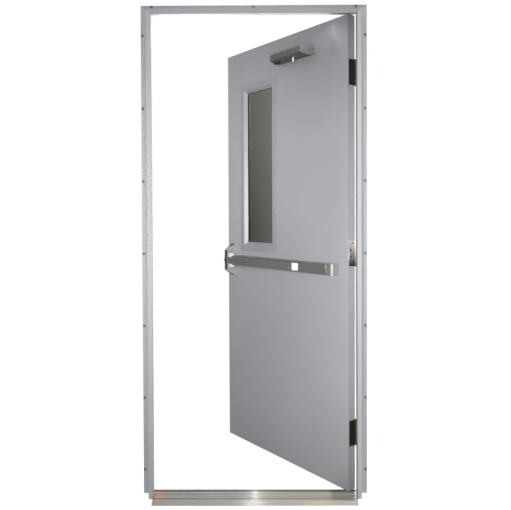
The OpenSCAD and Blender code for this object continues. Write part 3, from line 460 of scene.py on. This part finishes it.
def softened(node, radius_mm, finish, rounds=1, where=None):
    """A copy of a node with its long sharp edges bevelled; where picks edges by their middle point."""
    bm = merged_copy(node)
    width = radius_mm * MM
    edges = [e for e in bm.edges if e.is_manifold and e.calc_face_angle() > SHARP
             and e.calc_length() > LONG_ENOUGH * width and (where is None or where(e))]
    if width and edges:
        bmesh.ops.bevel(bm, geom=edges, offset=width, segments=rounds, profile=0.5, affect="EDGES",
                        clamp_overlap=True)
    mesh = bpy.data.meshes.new(node + "_soft")
    bm.to_mesh(mesh)
    bm.free()
    piece = finish_piece(mesh, node + "_soft", finish, [node])
    if rounds > 1:
        even = piece.modifiers.new("even_shading", "WEIGHTED_NORMAL")
        even.keep_sharp = True
    return piece


print("nodes to dress:", len(nodes))

# %% [markdown]
# ## Frame
# The jambs and the head meet in mitres. Bevelled lengths leave a fine groove there, as real mitres show. The
# threshold and the seals sit between them.

# %% Frame pieces
# Radius of the eased edges in mm, finish, and rounds of the bevel
FRAME_PIECES = {
    "hinge_jamb": (0.4, hinge_aluminium, 1), "strike_jamb": (0.4, strike_aluminium, 1),
    "head_jamb": (0.4, head_aluminium, 1), "threshold": (0.9, threshold_aluminium, 3),
    "hinge_side_seal": (0, rubber, 1), "strike_side_seal": (0, rubber, 1), "head_seal": (0, rubber, 1),
}
for node, (radius, finish, rounds) in FRAME_PIECES.items():
    piece = softened(node, radius, finish, rounds)
    print(piece.name, len(piece.data.polygons), "faces")

# %% [markdown]
# ## Hinges
# Each hinge is two leaves and a pin. The leaf's corners are eased by half a millimetre; the knuckles are round
# already, and only need smooth shading.

# %% Hinges
HINGE_EASE = 0.5
for place in ("bottom", "middle", "top"):
    # The middle hinge takes the painted reflection, the others the painted shade
    finish = hinge_steel_painted_reflection if place == "middle" else hinge_steel_painted_shade
    for node in ("frame_hinge_leaf_", "door_hinge_leaf_", "hinge_pin_"):
        softened(node + place, HINGE_EASE, finish)
print("three hinges dressed")

# %% [markdown]
# ## Leaf
# The two sheets are folded round the leaf's edges, which gives their outer corners a radius of about 1.1 mm.
# Inner corners are hidden, so only edges on the leaf's outer box are rounded. The leaf stands open, so its own
# axes are found by turning the world's: one along the leaf, from hinge to free edge, and one out of its push face.

# %% Leaf sheets
def on_outer_box(node):
    """Tells whether an edge lies on the outside of a leaf sheet, and not round a hole in it."""
    axes = (ALONG, OUT, UP)
    limits = [span(node, a) for a in axes]

    def test(edge):
        middle = (edge.verts[0].co + edge.verts[1].co) / 2
        near = [min(abs(middle.dot(a) - low), abs(middle.dot(a) - high)) < SAME
                for a, (low, high) in zip(axes, limits)]
        return sum(near) >= 2
    return test


FOLD_MM = 1.1
for node in ("push_face_sheet", "pull_face_sheet"):
    piece = softened(node, FOLD_MM, leaf_paint, rounds=3, where=on_outer_box(node))
    print(piece.name, len(piece.data.polygons), "faces")

# %% [markdown]
# ## Lite, bar and closer
# What is mounted on the leaf differs in how it was made, and its edges tell. Pressed lite frames have a small
# radius, extruded rails hardly any, and castings such as the bar's head and the closer are rounded well. So each
# piece has its own radius, and the broad ones are bevelled in several rounds to look round close up.

# %% Lite, bar and closer
# Radius of the eased edges in mm, finish, and rounds of the bevel
LEAF_PIECES = {
    # The lite's frames take the primer painted darker as shade
    "inner_lite_frame": (0.7, lite_shaded_paint, 2), "outer_lite_frame": (0.7, lite_shaded_paint, 2),
    "lite_glass": (0.8, lite_glass, 1), "glazing_tapes": (0, tape_rubber, 1), "setting_blocks": (0.5, rubber, 1),
    "bar_head_cover": (1.2, head_casting, 3), "bar_rail": (0.4, bar_metal, 1), "bar_rail_cover": (0.4, bar_metal, 1),
    "bar_end_cap": (1.0, cap_casting, 3), "push_pad": (0.9, bar_metal, 3), "push_pad_end": (0.9, pad_end_casting, 3),
    "latch_bolt": (0.6, latch_steel, 2), "closer_plate": (0.6, plate_paint, 1), "closer_body": (2.0, closer_paint, 3),
    "closer_spring_plug": (0.6, closer_paint, 1), "closer_base_plug": (0.5, black_plastic, 1),
    "closer_spindle": (0.4, latch_steel, 1),
}
for node, (radius, finish, rounds) in LEAF_PIECES.items():
    piece = softened(node, radius, finish, rounds)
    print(piece.name, len(piece.data.polygons), "faces")

# %% [markdown]
# ## What stays hidden
# The channels, tapped plates, keys and core are inside the leaf and frame. Their solids are right as they are, so
# they keep their own meshes and only take a finish.

# %% Finishes on hidden solids
HIDDEN = {
    plated_steel: ("corner_keys", "frame_hinge_plates", "door_hinge_plates", "hinge_stile", "lock_stile",
                   "top_channel", "bottom_channel", "lock_back_plate", "closer_back_plate", "bar_chassis",
                   "bar_end_bracket"),
    board: ("door_core",),
}
for finish, names in HIDDEN.items():
    for node in names:
        for material_slot in nodes[node].material_slots:
            material_slot.material = finish
print("hidden solids:", sum(len(names) for names in HIDDEN.values()))

# %% [markdown]
# ## Screws
# Dozens of screws repeat the same countersunk head with a cross recess, so Geometry Nodes make them. The tree
# builds one screw from named sizes, places it on points that each carry an aim, gives each a spin of its own from a
# fixed seed, then makes the instances real. The points come from the CAD screws: the middle of each head's face.

# %% Start and end of a tree
def start_tree(name, size_names):
    """An empty tree whose inputs are points, named sizes and a finish; gives the tree and its inputs."""
    tree = bpy.data.node_groups.new(name, "GeometryNodeTree")
    tree.is_modifier = True
    tree.interface.new_socket("Geometry", in_out="INPUT", socket_type="NodeSocketGeometry")
    for size in size_names:
        tree.interface.new_socket(size, in_out="INPUT", socket_type="NodeSocketFloat")
    tree.interface.new_socket("Finish", in_out="INPUT", socket_type="NodeSocketMaterial")
    tree.interface.new_socket("Geometry", in_out="OUTPUT", socket_type="NodeSocketGeometry")
    return tree, add_node(tree, "NodeGroupInput").outputs


def on_points(tree, sizes, shape):
    """Stands a shape on each point, with its Z turned to the point's aim."""
    aim = add_node(tree, "GeometryNodeInputNamedAttribute", {"Name": "aim"}, data_type="FLOAT_VECTOR")
    turn = add_node(tree, "FunctionNodeAlignRotationToVector", {"Vector": aim.outputs["Attribute"]}, axis="Z")
    placed = add_node(tree, "GeometryNodeInstanceOnPoints", {"Points": sizes["Geometry"], "Instance": shape,
                                                             "Rotation": turn.outputs["Rotation"]})
    return placed.outputs["Instances"]


def end_tree(tree, sizes, instances):
    """Makes the instances real and gives them their finish."""
    real = add_node(tree, "GeometryNodeRealizeInstances", {"Geometry": instances})
    done = add_node(tree, "GeometryNodeSetMaterial", {"Geometry": real.outputs["Geometry"],
                                                      "Material": sizes["Finish"]})
    add_node(tree, "NodeGroupOutput", {"Geometry": done.outputs["Geometry"]})
    return tree


SIZE_NAMES = ("Head Radius", "Head Depth", "Shank Radius", "Length", "Recess Width", "Recess Depth")
print("sizes of a screw:", SIZE_NAMES)

# %% [markdown]
# The head is a cone with its wide end at the point, and the shank is a cylinder below it. Two crossed boxes or one
# hexagon, sunk to the recess's depth, are cut out of the head.

# %% A tree for countersunk screws
HEAD_SIDES = 24
SHANK_SIDES = 16
CROSS = 4
HEXAGON = 6
# Length of a cross recess's arms for each unit of the head's radius
ARM_SHARE = 1.1


def screw_tree(name, seed, sides):
    """Countersunk screws on points, with a cross recess or a hexagon socket."""
    tree, sizes = start_tree(name, SIZE_NAMES)
    down = add_node(tree, "ShaderNodeMath", {0: sizes["Head Depth"], 1: -1.0}, operation="MULTIPLY")
    drop = add_node(tree, "ShaderNodeCombineXYZ", {"Z": down.outputs["Value"]})
    cone = add_node(tree, "GeometryNodeMeshCone", {"Vertices": HEAD_SIDES, "Radius Top": sizes["Head Radius"],
                                                   "Radius Bottom": sizes["Shank Radius"],
                                                   "Depth": sizes["Head Depth"]})
    head = add_node(tree, "GeometryNodeTransform", {"Geometry": cone.outputs["Mesh"],
                                                    "Translation": drop.outputs["Vector"]})
    half = add_node(tree, "ShaderNodeMath", {0: sizes["Length"], 1: -0.5}, operation="MULTIPLY")
    sink = add_node(tree, "ShaderNodeMath", {0: half.outputs["Value"], 1: down.outputs["Value"]}, operation="ADD")
    low = add_node(tree, "ShaderNodeCombineXYZ", {"Z": sink.outputs["Value"]})
    rod = add_node(tree, "GeometryNodeMeshCylinder", {"Vertices": SHANK_SIDES, "Radius": sizes["Shank Radius"],
                                                      "Depth": sizes["Length"]})
    shank = add_node(tree, "GeometryNodeTransform", {"Geometry": rod.outputs["Mesh"],
                                                     "Translation": low.outputs["Vector"]})
    deep = add_node(tree, "ShaderNodeMath", {0: sizes["Recess Depth"], 1: 2.0}, operation="MULTIPLY")
    if sides == CROSS:
        arm = add_node(tree, "ShaderNodeMath", {0: sizes["Head Radius"], 1: ARM_SHARE}, operation="MULTIPLY")
        bars = []
        for pair in (("X", "Y"), ("Y", "X")):
            size = add_node(tree, "ShaderNodeCombineXYZ", {pair[0]: arm.outputs["Value"],
                                                           pair[1]: sizes["Recess Width"],
                                                           "Z": deep.outputs["Value"]})
            bars.append(add_node(tree, "GeometryNodeMeshCube", {"Size": size.outputs["Vector"]}))
        tools = [bar.outputs["Mesh"] for bar in bars]
    else:
        socket = add_node(tree, "GeometryNodeMeshCylinder", {"Vertices": sides, "Radius": sizes["Recess Width"],
                                                             "Depth": deep.outputs["Value"]})
        tools = [socket.outputs["Mesh"]]
    cut = add_node(tree, "GeometryNodeMeshBoolean", {"Mesh 1": head.outputs["Geometry"]}, operation="DIFFERENCE")
    for tool in tools:
        tree.links.new(tool, cut.inputs["Mesh 2"])
    screw = add_node(tree, "GeometryNodeJoinGeometry", {"Geometry": cut.outputs["Mesh"]})
    tree.links.new(shank.outputs["Geometry"], screw.inputs["Geometry"])

    placed = on_points(tree, sizes, screw.outputs["Geometry"])
    spin = add_node(tree, "FunctionNodeRandomValue", {"Seed": seed}, data_type="FLOAT")
    spin.inputs[3].default_value = math.pi
    about = add_node(tree, "ShaderNodeCombineXYZ", {"Z": spin.outputs[1]})
    spun = add_node(tree, "GeometryNodeRotateInstances", {"Instances": placed, "Rotation": about.outputs["Vector"]})
    return end_tree(tree, sizes, spun.outputs["Instances"])


cross_heads = screw_tree("cross_head_screws", seed=7, sides=CROSS)
socket_heads = screw_tree("socket_screws", seed=3, sides=HEXAGON)
print("screw trees:", cross_heads.name, socket_heads.name)

# %% [markdown]
# A screw's head faces out of the piece it holds. For each loose island of a CAD screw node, the points furthest
# along that direction are its head's face, and their middle is where the new screw goes.

# %% Points from the CAD screws
def islands(node):
    """The loose parts of a node, each as a list of points."""
    bm = merged_copy(node)
    left = set(bm.verts)
    found = []
    while left:
        stack = [left.pop()]
        part = []
        while stack:
            vert = stack.pop()
            part.append(vert.co.copy())
            for edge in vert.link_edges:
                other = edge.other_vert(vert)
                if other in left:
                    left.remove(other)
                    stack.append(other)
        found.append(part)
    bm.free()
    return found


def head_points(node, aim_of):
    """The middle of each screw's head face, and the way it faces."""
    spots, aims = [], []
    for part in islands(node):
        middle = sum(part, Vector()) / len(part)
        aim = aim_of(middle)
        reach = max(p.dot(aim) for p in part)
        face = [p for p in part if reach - p.dot(aim) < SAME]
        low = [min(p[i] for p in face) for i in range(3)]
        high = [max(p[i] for p in face) for i in range(3)]
        spots.append(Vector((a + b) / 2 for a, b in zip(low, high)))
        aims.append(aim)
    return spots, aims


def run_tree(name, tree, spots, aims, values):
    """Runs a tree on points that carry an aim, and gives the plain mesh."""
    points = bpy.data.meshes.new(name + "_points")
    points.from_pydata([tuple(p) for p in spots], [], [])
    aim = points.attributes.new("aim", "FLOAT_VECTOR", "POINT")
    aim.data.foreach_set("vector", [c for a in aims for c in a])
    holder = bpy.data.objects.new(name + "_points", points)
    bpy.context.scene.collection.objects.link(holder)
    modifier = holder.modifiers.new(tree.name, "NODES")
    modifier.node_group = tree
    for item in tree.interface.items_tree:
        if item.in_out == "INPUT" and item.name in values:
            modifier[item.identifier] = values[item.name]
    evaluated = holder.evaluated_get(bpy.context.evaluated_depsgraph_get())
    mesh = bpy.data.meshes.new_from_object(evaluated)
    mesh.name = name
    bpy.data.objects.remove(holder)
    return mesh


print("lite bolts found:", len(islands("lite_bolts")))

# %% [markdown]
# The aims: hinge screws face the gap between leaf and jamb, lite bolts, bar screws and closer screws face out of
# the push side, valve screws face the hinge side, and threshold screws face out of the frame on either side.

# %% Screws in place
def facing(direction):
    """Every screw of a node faces one way."""
    return lambda middle: direction


def outwards(middle):
    """A screw faces out of the frame on its own side."""
    return Vector((1 if middle.x > 0 else -1, 0, 0))


# Tree, aim, finish, and the sizes of SIZE_NAMES in mm
SCREWS = {
    # The hinge screws take the dark hinges' painted shade
    "frame_hinge_screws": (cross_heads, facing(Vector((-1, 0, 0))), hinge_steel_painted_shade, (5.0, 2.5, 2.5, 6.0, 1.5, 1.6)),
    "door_hinge_screws": (cross_heads, facing(-ALONG), hinge_steel_painted_shade, (5.0, 2.5, 2.5, 6.0, 1.5, 1.6)),
    # The lite bolts take the lite's primer painted darker as shade
    "lite_bolts": (cross_heads, facing(OUT), lite_shaded_paint, (4.0, 2.0, 2.0, 40.0, 1.1, 1.2)),
    "bar_screws": (cross_heads, facing(OUT), screw_steel, (4.5, 2.2, 2.5, 6.0, 1.3, 1.4)),
    "closer_screws": (cross_heads, facing(OUT), screw_steel, (4.5, 2.2, 2.5, 7.0, 1.3, 1.4)),
    "threshold_screws": (cross_heads, outwards, screw_steel, (4.0, 2.0, 2.0, 30.0, 1.2, 1.2)),
    "closer_valve_screws": (socket_heads, facing(-ALONG), screw_steel, (3.0, 1.0, 3.0, 4.0, 1.6, 0.9)),
}
for node, (tree, aim_of, finish, sizes_mm) in SCREWS.items():
    spots, aims = head_points(node, aim_of)
    values = {name: size * MM for name, size in zip(SIZE_NAMES, sizes_mm)}
    values["Finish"] = finish
    mesh = run_tree(node + "_turned", tree, spots, aims, values)
    piece = finish_piece(mesh, node + "_turned", finish, [node])
    print(piece.name, len(spots), "screws,", len(mesh.polygons), "faces")

# %% [markdown]
# ## Dark rings as painted shade
# Each fixing hole in the flange has a thin dark rubber ring on its front, put there to stand for the shade in the
# hole, and which shows as a dark dot. A ring is a small flat section swept round a circle.

# %% Dark rings round the fixing holes, as painted shade
RING_NAMES = ("Ring Radius", "Section Width", "Section Height")
RING_SIZES_MM = (3.15, 4.3, 0.8)
RING_SIDES = 28


def ring_tree(name):
    """Flat rings on points."""
    tree, sizes = start_tree(name, RING_NAMES)
    loop = add_node(tree, "GeometryNodeCurvePrimitiveCircle", {"Resolution": RING_SIDES,
                                                               "Radius": sizes["Ring Radius"]})
    section = add_node(tree, "GeometryNodeCurvePrimitiveQuadrilateral", {"Width": sizes["Section Width"],
                                                                         "Height": sizes["Section Height"]})
    ring = add_node(tree, "GeometryNodeCurveToMesh", {"Curve": loop.outputs["Curve"],
                                                      "Profile Curve": section.outputs["Curve"]})
    return end_tree(tree, sizes, on_points(tree, sizes, ring.outputs["Mesh"]))


# Places of the flange's holes, in mm: the uprights' X, the head's Z, and the rows along each
FLANGE_X = 494.5
HEAD_Z = 2171.5
FIRST_HOLE, HOLE_STEP, HOLE_COUNT = 108, 323, 7
HOLE_ZS = [FIRST_HOLE + HOLE_STEP * i for i in range(HOLE_COUNT)]
HOLE_XS = (-453, 0, 453)
# A ring's middle lies half its height in front of the flange
RING_OUT = -0.4
ring_spots = [Vector((side * FLANGE_X, RING_OUT, z)) * MM for side in (-1, 1) for z in HOLE_ZS]
ring_spots += [Vector((x, RING_OUT, HEAD_Z)) * MM for x in HOLE_XS]
ring_values = {name: size * MM for name, size in zip(RING_NAMES, RING_SIZES_MM)}
ring_values["Finish"] = rubber
mesh = run_tree("fixing_rings", ring_tree("hole_shade_rings"), ring_spots,
                [Vector((0, -1, 0))] * len(ring_spots), ring_values)
mesh.polygons.foreach_set("use_smooth", [True] * len(mesh.polygons))
mesh.set_sharp_from_angle(angle=SHARP)
rings = bpy.data.objects.new("fixing_rings", mesh)
bpy.context.scene.collection.objects.link(rings)
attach(rings, "frame")
depths = [v.co.y / MM for v in mesh.vertices]
print("sealing rings:", len(ring_spots), "from", round(min(depths), 2), "to", round(max(depths), 2), "mm")

# %% [markdown]
# ## Studio
# The portrait is a cut-out on white. The world and the floor are white to the camera and in reflections, while
# the light that they give the door is softer. The floor still darkens where the door keeps the light off it.

# %% World and floor
# Strength of the world as light, and what the floor adds to its own shade where it is looked at
AMBIENT = 0.29
FLOOR_LIFT = 0.77
PAPER = (0.8, 0.8, 0.8, 1)
WHITE = (1, 1, 1, 1)
# Half the floor's width and how far it lies under the door, in metres
FLOOR = 40.0
FLOOR_DROP = 0.0005


def looked_at(tree):
    """One for rays from the camera, from reflections or through glass, and nought for light."""
    path = add_node(tree, "ShaderNodeLightPath")
    seen = add_node(tree, "ShaderNodeMath", {0: path.outputs["Is Camera Ray"], 1: path.outputs["Is Glossy Ray"]},
                    operation="MAXIMUM")
    seen = add_node(tree, "ShaderNodeMath", {0: seen.outputs["Value"], 1: path.outputs["Is Transmission Ray"]},
                    operation="MAXIMUM")
    return seen.outputs["Value"]


world = bpy.data.worlds.new("white_studio")
bpy.context.scene.world = world
world.use_nodes = True
tree = world.node_tree
tree.nodes.clear()
strength = add_node(tree, "ShaderNodeMapRange", {"Value": looked_at(tree), "To Min": AMBIENT, "To Max": 1.0})
sky = add_node(tree, "ShaderNodeBackground", {"Color": WHITE, "Strength": strength.outputs["Result"]})
add_node(tree, "ShaderNodeOutputWorld", {"Surface": sky.outputs["Background"]})

floor_mesh = bpy.data.meshes.new("studio_floor")
floor_mesh.from_pydata([(-FLOOR, -FLOOR, 0), (FLOOR, -FLOOR, 0), (FLOOR, FLOOR, 0), (-FLOOR, FLOOR, 0)], [],
                       [(0, 1, 2, 3)])
floor = bpy.data.objects.new("studio_floor", floor_mesh)
floor.location.z = -FLOOR_DROP
bpy.context.scene.collection.objects.link(floor)
paper = bpy.data.materials.new("studio_paper")
paper.use_nodes = True
tree = paper.node_tree
tree.nodes.clear()
lift = add_node(tree, "ShaderNodeMapRange", {"Value": looked_at(tree), "To Min": 0.0, "To Max": FLOOR_LIFT})
matt = add_node(tree, "ShaderNodeBsdfDiffuse", {"Color": PAPER})
glow = add_node(tree, "ShaderNodeEmission", {"Color": WHITE, "Strength": lift.outputs["Result"]})
both = add_node(tree, "ShaderNodeAddShader", {0: matt.outputs["BSDF"], 1: glow.outputs["Emission"]})
add_node(tree, "ShaderNodeOutputMaterial", {"Surface": both.outputs["Shader"]})
floor_mesh.materials.append(paper)
print("white studio, ambient", AMBIENT)

# %% [markdown]
# ## Light
# Light from beside the lens makes faces that look at the camera bright, and the bevels at 45 degrees to the leaf
# flash white. Two soft spots near the camera do that, one of them for the strike side, and a small warm spot lies
# on the threshold. Reflections don't see these three: one lamp that only they see gives the shine. A last lamp
# stands behind the door for other views.

# %% Lamps
def spot_lamp(name, place, aim, watts, cone, softness, colour="#FFFFFF"):
    """A spot lamp at place, turned towards aim, with the softest edge to its cone."""
    lamp = bpy.data.lights.new(name, "SPOT")
    lamp.energy = watts
    lamp.color = linear(colour)[:3]
    lamp.spot_size = cone
    lamp.spot_blend = 1.0
    lamp.shadow_soft_size = softness
    holder = bpy.data.objects.new(name, lamp)
    holder.location = place
    holder.rotation_euler = Vector(aim).to_track_quat("-Z", "Y").to_euler()
    bpy.context.scene.collection.objects.link(holder)
    return holder


def heading(yaw, pitch):
    """A direction from its turn to the right of Y and its rise, in radians."""
    return (math.sin(yaw) * math.cos(pitch), math.cos(yaw) * math.cos(pitch), math.sin(pitch))


camera_lamp = spot_lamp("camera_lamp", (0.05, -2.5, 1.11), heading(0.24, -0.025), watts=325, cone=1.04, softness=0.1)
left_lamp = spot_lamp("left_lamp", (-0.35, -2.4, 1.84), heading(-0.135, -0.08), watts=285, cone=0.84, softness=0.3)
threshold_lamp = spot_lamp("threshold_lamp", (0.38, -0.14, 2.8), (-0.14, 0.1, -2.8), watts=44, cone=0.19,
                           softness=0.05, colour="#FFEFDC")
for lamp in (camera_lamp, left_lamp, threshold_lamp):
    lamp.visible_glossy = False
shine_lamp = spot_lamp("shine_lamp", (0.05, -2.5, 1.2), heading(0.0, 0.0), watts=170, cone=1.2, softness=0.1)
shine_lamp.visible_diffuse = False
spot_lamp("rear_lamp", (1.6, 3.4, 2.3), heading(math.radians(205), -0.3), watts=260, cone=1.3, softness=0.5)
print("lamps:", len(bpy.data.lights))

# %% [markdown]
# Metal shows what stands round it. Cards that only reflections see give it that: a dark wall at the strike side
# that grows lighter upwards, bright cards beside the lens and behind the door, and a strip that lights the head's
# soffit. Two narrow cards above and one upright card with a bright line make the threshold's streak and its warm
# spot, and a small warm card colours its left end. The line fades as one over the distance, as a glare does.

# %% Reflection cards
def reflection_card(name, corners, strength, colour="#FFFFFF", streak=None):
    """A flat card that only mirrors see; streak is the X of a bright line on it and how fast that fades."""
    mesh = bpy.data.meshes.new(name)
    mesh.from_pydata(corners, [], [(0, 1, 2, 3)])
    card = bpy.data.objects.new(name, mesh)
    bpy.context.scene.collection.objects.link(card)
    card.visible_camera = card.visible_diffuse = card.visible_shadow = card.visible_transmission = False
    tone = bpy.data.materials.new(name)
    tone.use_nodes = True
    tone.node_tree.nodes.clear()
    if streak:
        middle, fading = streak
        place = add_node(tone.node_tree, "ShaderNodeTexCoord")
        across = add_node(tone.node_tree, "ShaderNodeSeparateXYZ", {"Vector": place.outputs["Object"]})
        off = add_node(tone.node_tree, "ShaderNodeMath", {0: across.outputs["X"], 1: middle}, operation="SUBTRACT")
        far = add_node(tone.node_tree, "ShaderNodeMath", {0: off.outputs["Value"]}, operation="ABSOLUTE")
        wide = add_node(tone.node_tree, "ShaderNodeMath", {0: far.outputs["Value"], 1: 1 / fading, 2: 1.0},
                        operation="MULTIPLY_ADD")
        glow = add_node(tone.node_tree, "ShaderNodeMath", {0: strength - 1.0, 1: wide.outputs["Value"]},
                        operation="DIVIDE")
        lifted = add_node(tone.node_tree, "ShaderNodeMath", {0: glow.outputs["Value"], 1: 1.0}, operation="ADD")
        strength = lifted.outputs["Value"]
    shine = add_node(tone.node_tree, "ShaderNodeEmission", {"Color": linear(colour), "Strength": strength})
    add_node(tone.node_tree, "ShaderNodeOutputMaterial", {"Surface": shine.outputs["Emission"]})
    mesh.materials.append(tone)


def wall_card(name, z_range, strength):
    """A card along the strike side."""
    (y0, y1), (z0, z1) = WALL_Y, z_range
    reflection_card(name, [(WALL_X, y0, z0), (WALL_X, y1, z0), (WALL_X, y1, z1), (WALL_X, y0, z1)], strength)


def upright_card(name, x_range, y, z_range, strength, **more):
    """A card that faces the camera or the back."""
    (x0, x1), (z0, z1) = x_range, z_range
    reflection_card(name, [(x0, y, z0), (x1, y, z0), (x1, y, z1), (x0, y, z1)], strength, **more)


def ceiling_card(name, x_range, strength, **more):
    """A card over the threshold."""
    (x0, x1), (y0, y1) = x_range, CEILING_Y
    reflection_card(name, [(x0, y0, CEILING_Z), (x1, y0, CEILING_Z), (x1, y1, CEILING_Z), (x0, y1, CEILING_Z)],
                    strength, **more)


# Places in metres
WALL_X = -3.6
WALL_Y = (-4, 5)
WALL_FOOT = 1.0
STRIP = 0.1
STRIPS = 11
LENS_Y = -2.5
BACK_Y = 3
CEILING_Y = (-0.5, 0.4)
CEILING_Z = 3
TREAD_Z = (0.02, 0.2)
# Strength of the wall's lowest strip, and what each strip adds
WALL_GLOW = 0.25
WALL_GAIN = 0.07
wall_card("strike_side_card", (0.01, WALL_FOOT), 0.2)
for step in range(STRIPS):
    wall_card("strike_side_card_%d" % step, (WALL_FOOT + STRIP * step, WALL_FOOT + STRIP + STRIP * step),
              WALL_GLOW + WALL_GAIN * step)
upright_card("left_front_card", (-1.0, -0.4), LENS_Y, (0.6, 1.75), 10.0)
upright_card("right_front_card", (0.75, 1.2), LENS_Y, (0.4, 1.9), 4.0)
upright_card("back_card", (-1.2, 1.0), BACK_Y, (0.01, 3.2), 6.0)
upright_card("soffit_card", (-0.45, 0.4), 0.05, (2.05, 2.115), 6.0)
ceiling_card("streak_card", (-0.079, -0.035), 50.0)
ceiling_card("warm_spot_card", (0.49, 0.54), 24.0, colour="#FFB870")
upright_card("tread_streak_card", (-0.75, 0.4), 0.06, TREAD_Z, 7.0, streak=(-0.002, 0.014))
upright_card("warm_tread_card", (-0.475, -0.415), 0.055, TREAD_Z, 2.0, colour="#FFCBAA")

# %% [markdown]
# ## Camera
# The camera was found from the picture: the frame's edges, the leaf's edges and the threshold's corners fix where
# it stood and how long its lens was. A small shift keeps the uprights upright.

# %% Camera
camera_data = bpy.data.cameras.new("portrait_camera")
camera_data.lens = 40.861
camera_data.sensor_width = 36.0
camera_data.shift_x = -0.01147
camera_data.shift_y = -0.06014
camera = bpy.data.objects.new("portrait_camera", camera_data)
camera.location = (0.04629, -2.58577, 1.24961)
camera.rotation_euler = [math.radians(a) for a in (89.06, 0.212, 0.332)]
bpy.context.scene.collection.objects.link(camera)
bpy.context.scene.camera = camera
bpy.context.scene.view_settings.view_transform = "Standard"
print("camera at", tuple(camera.location))
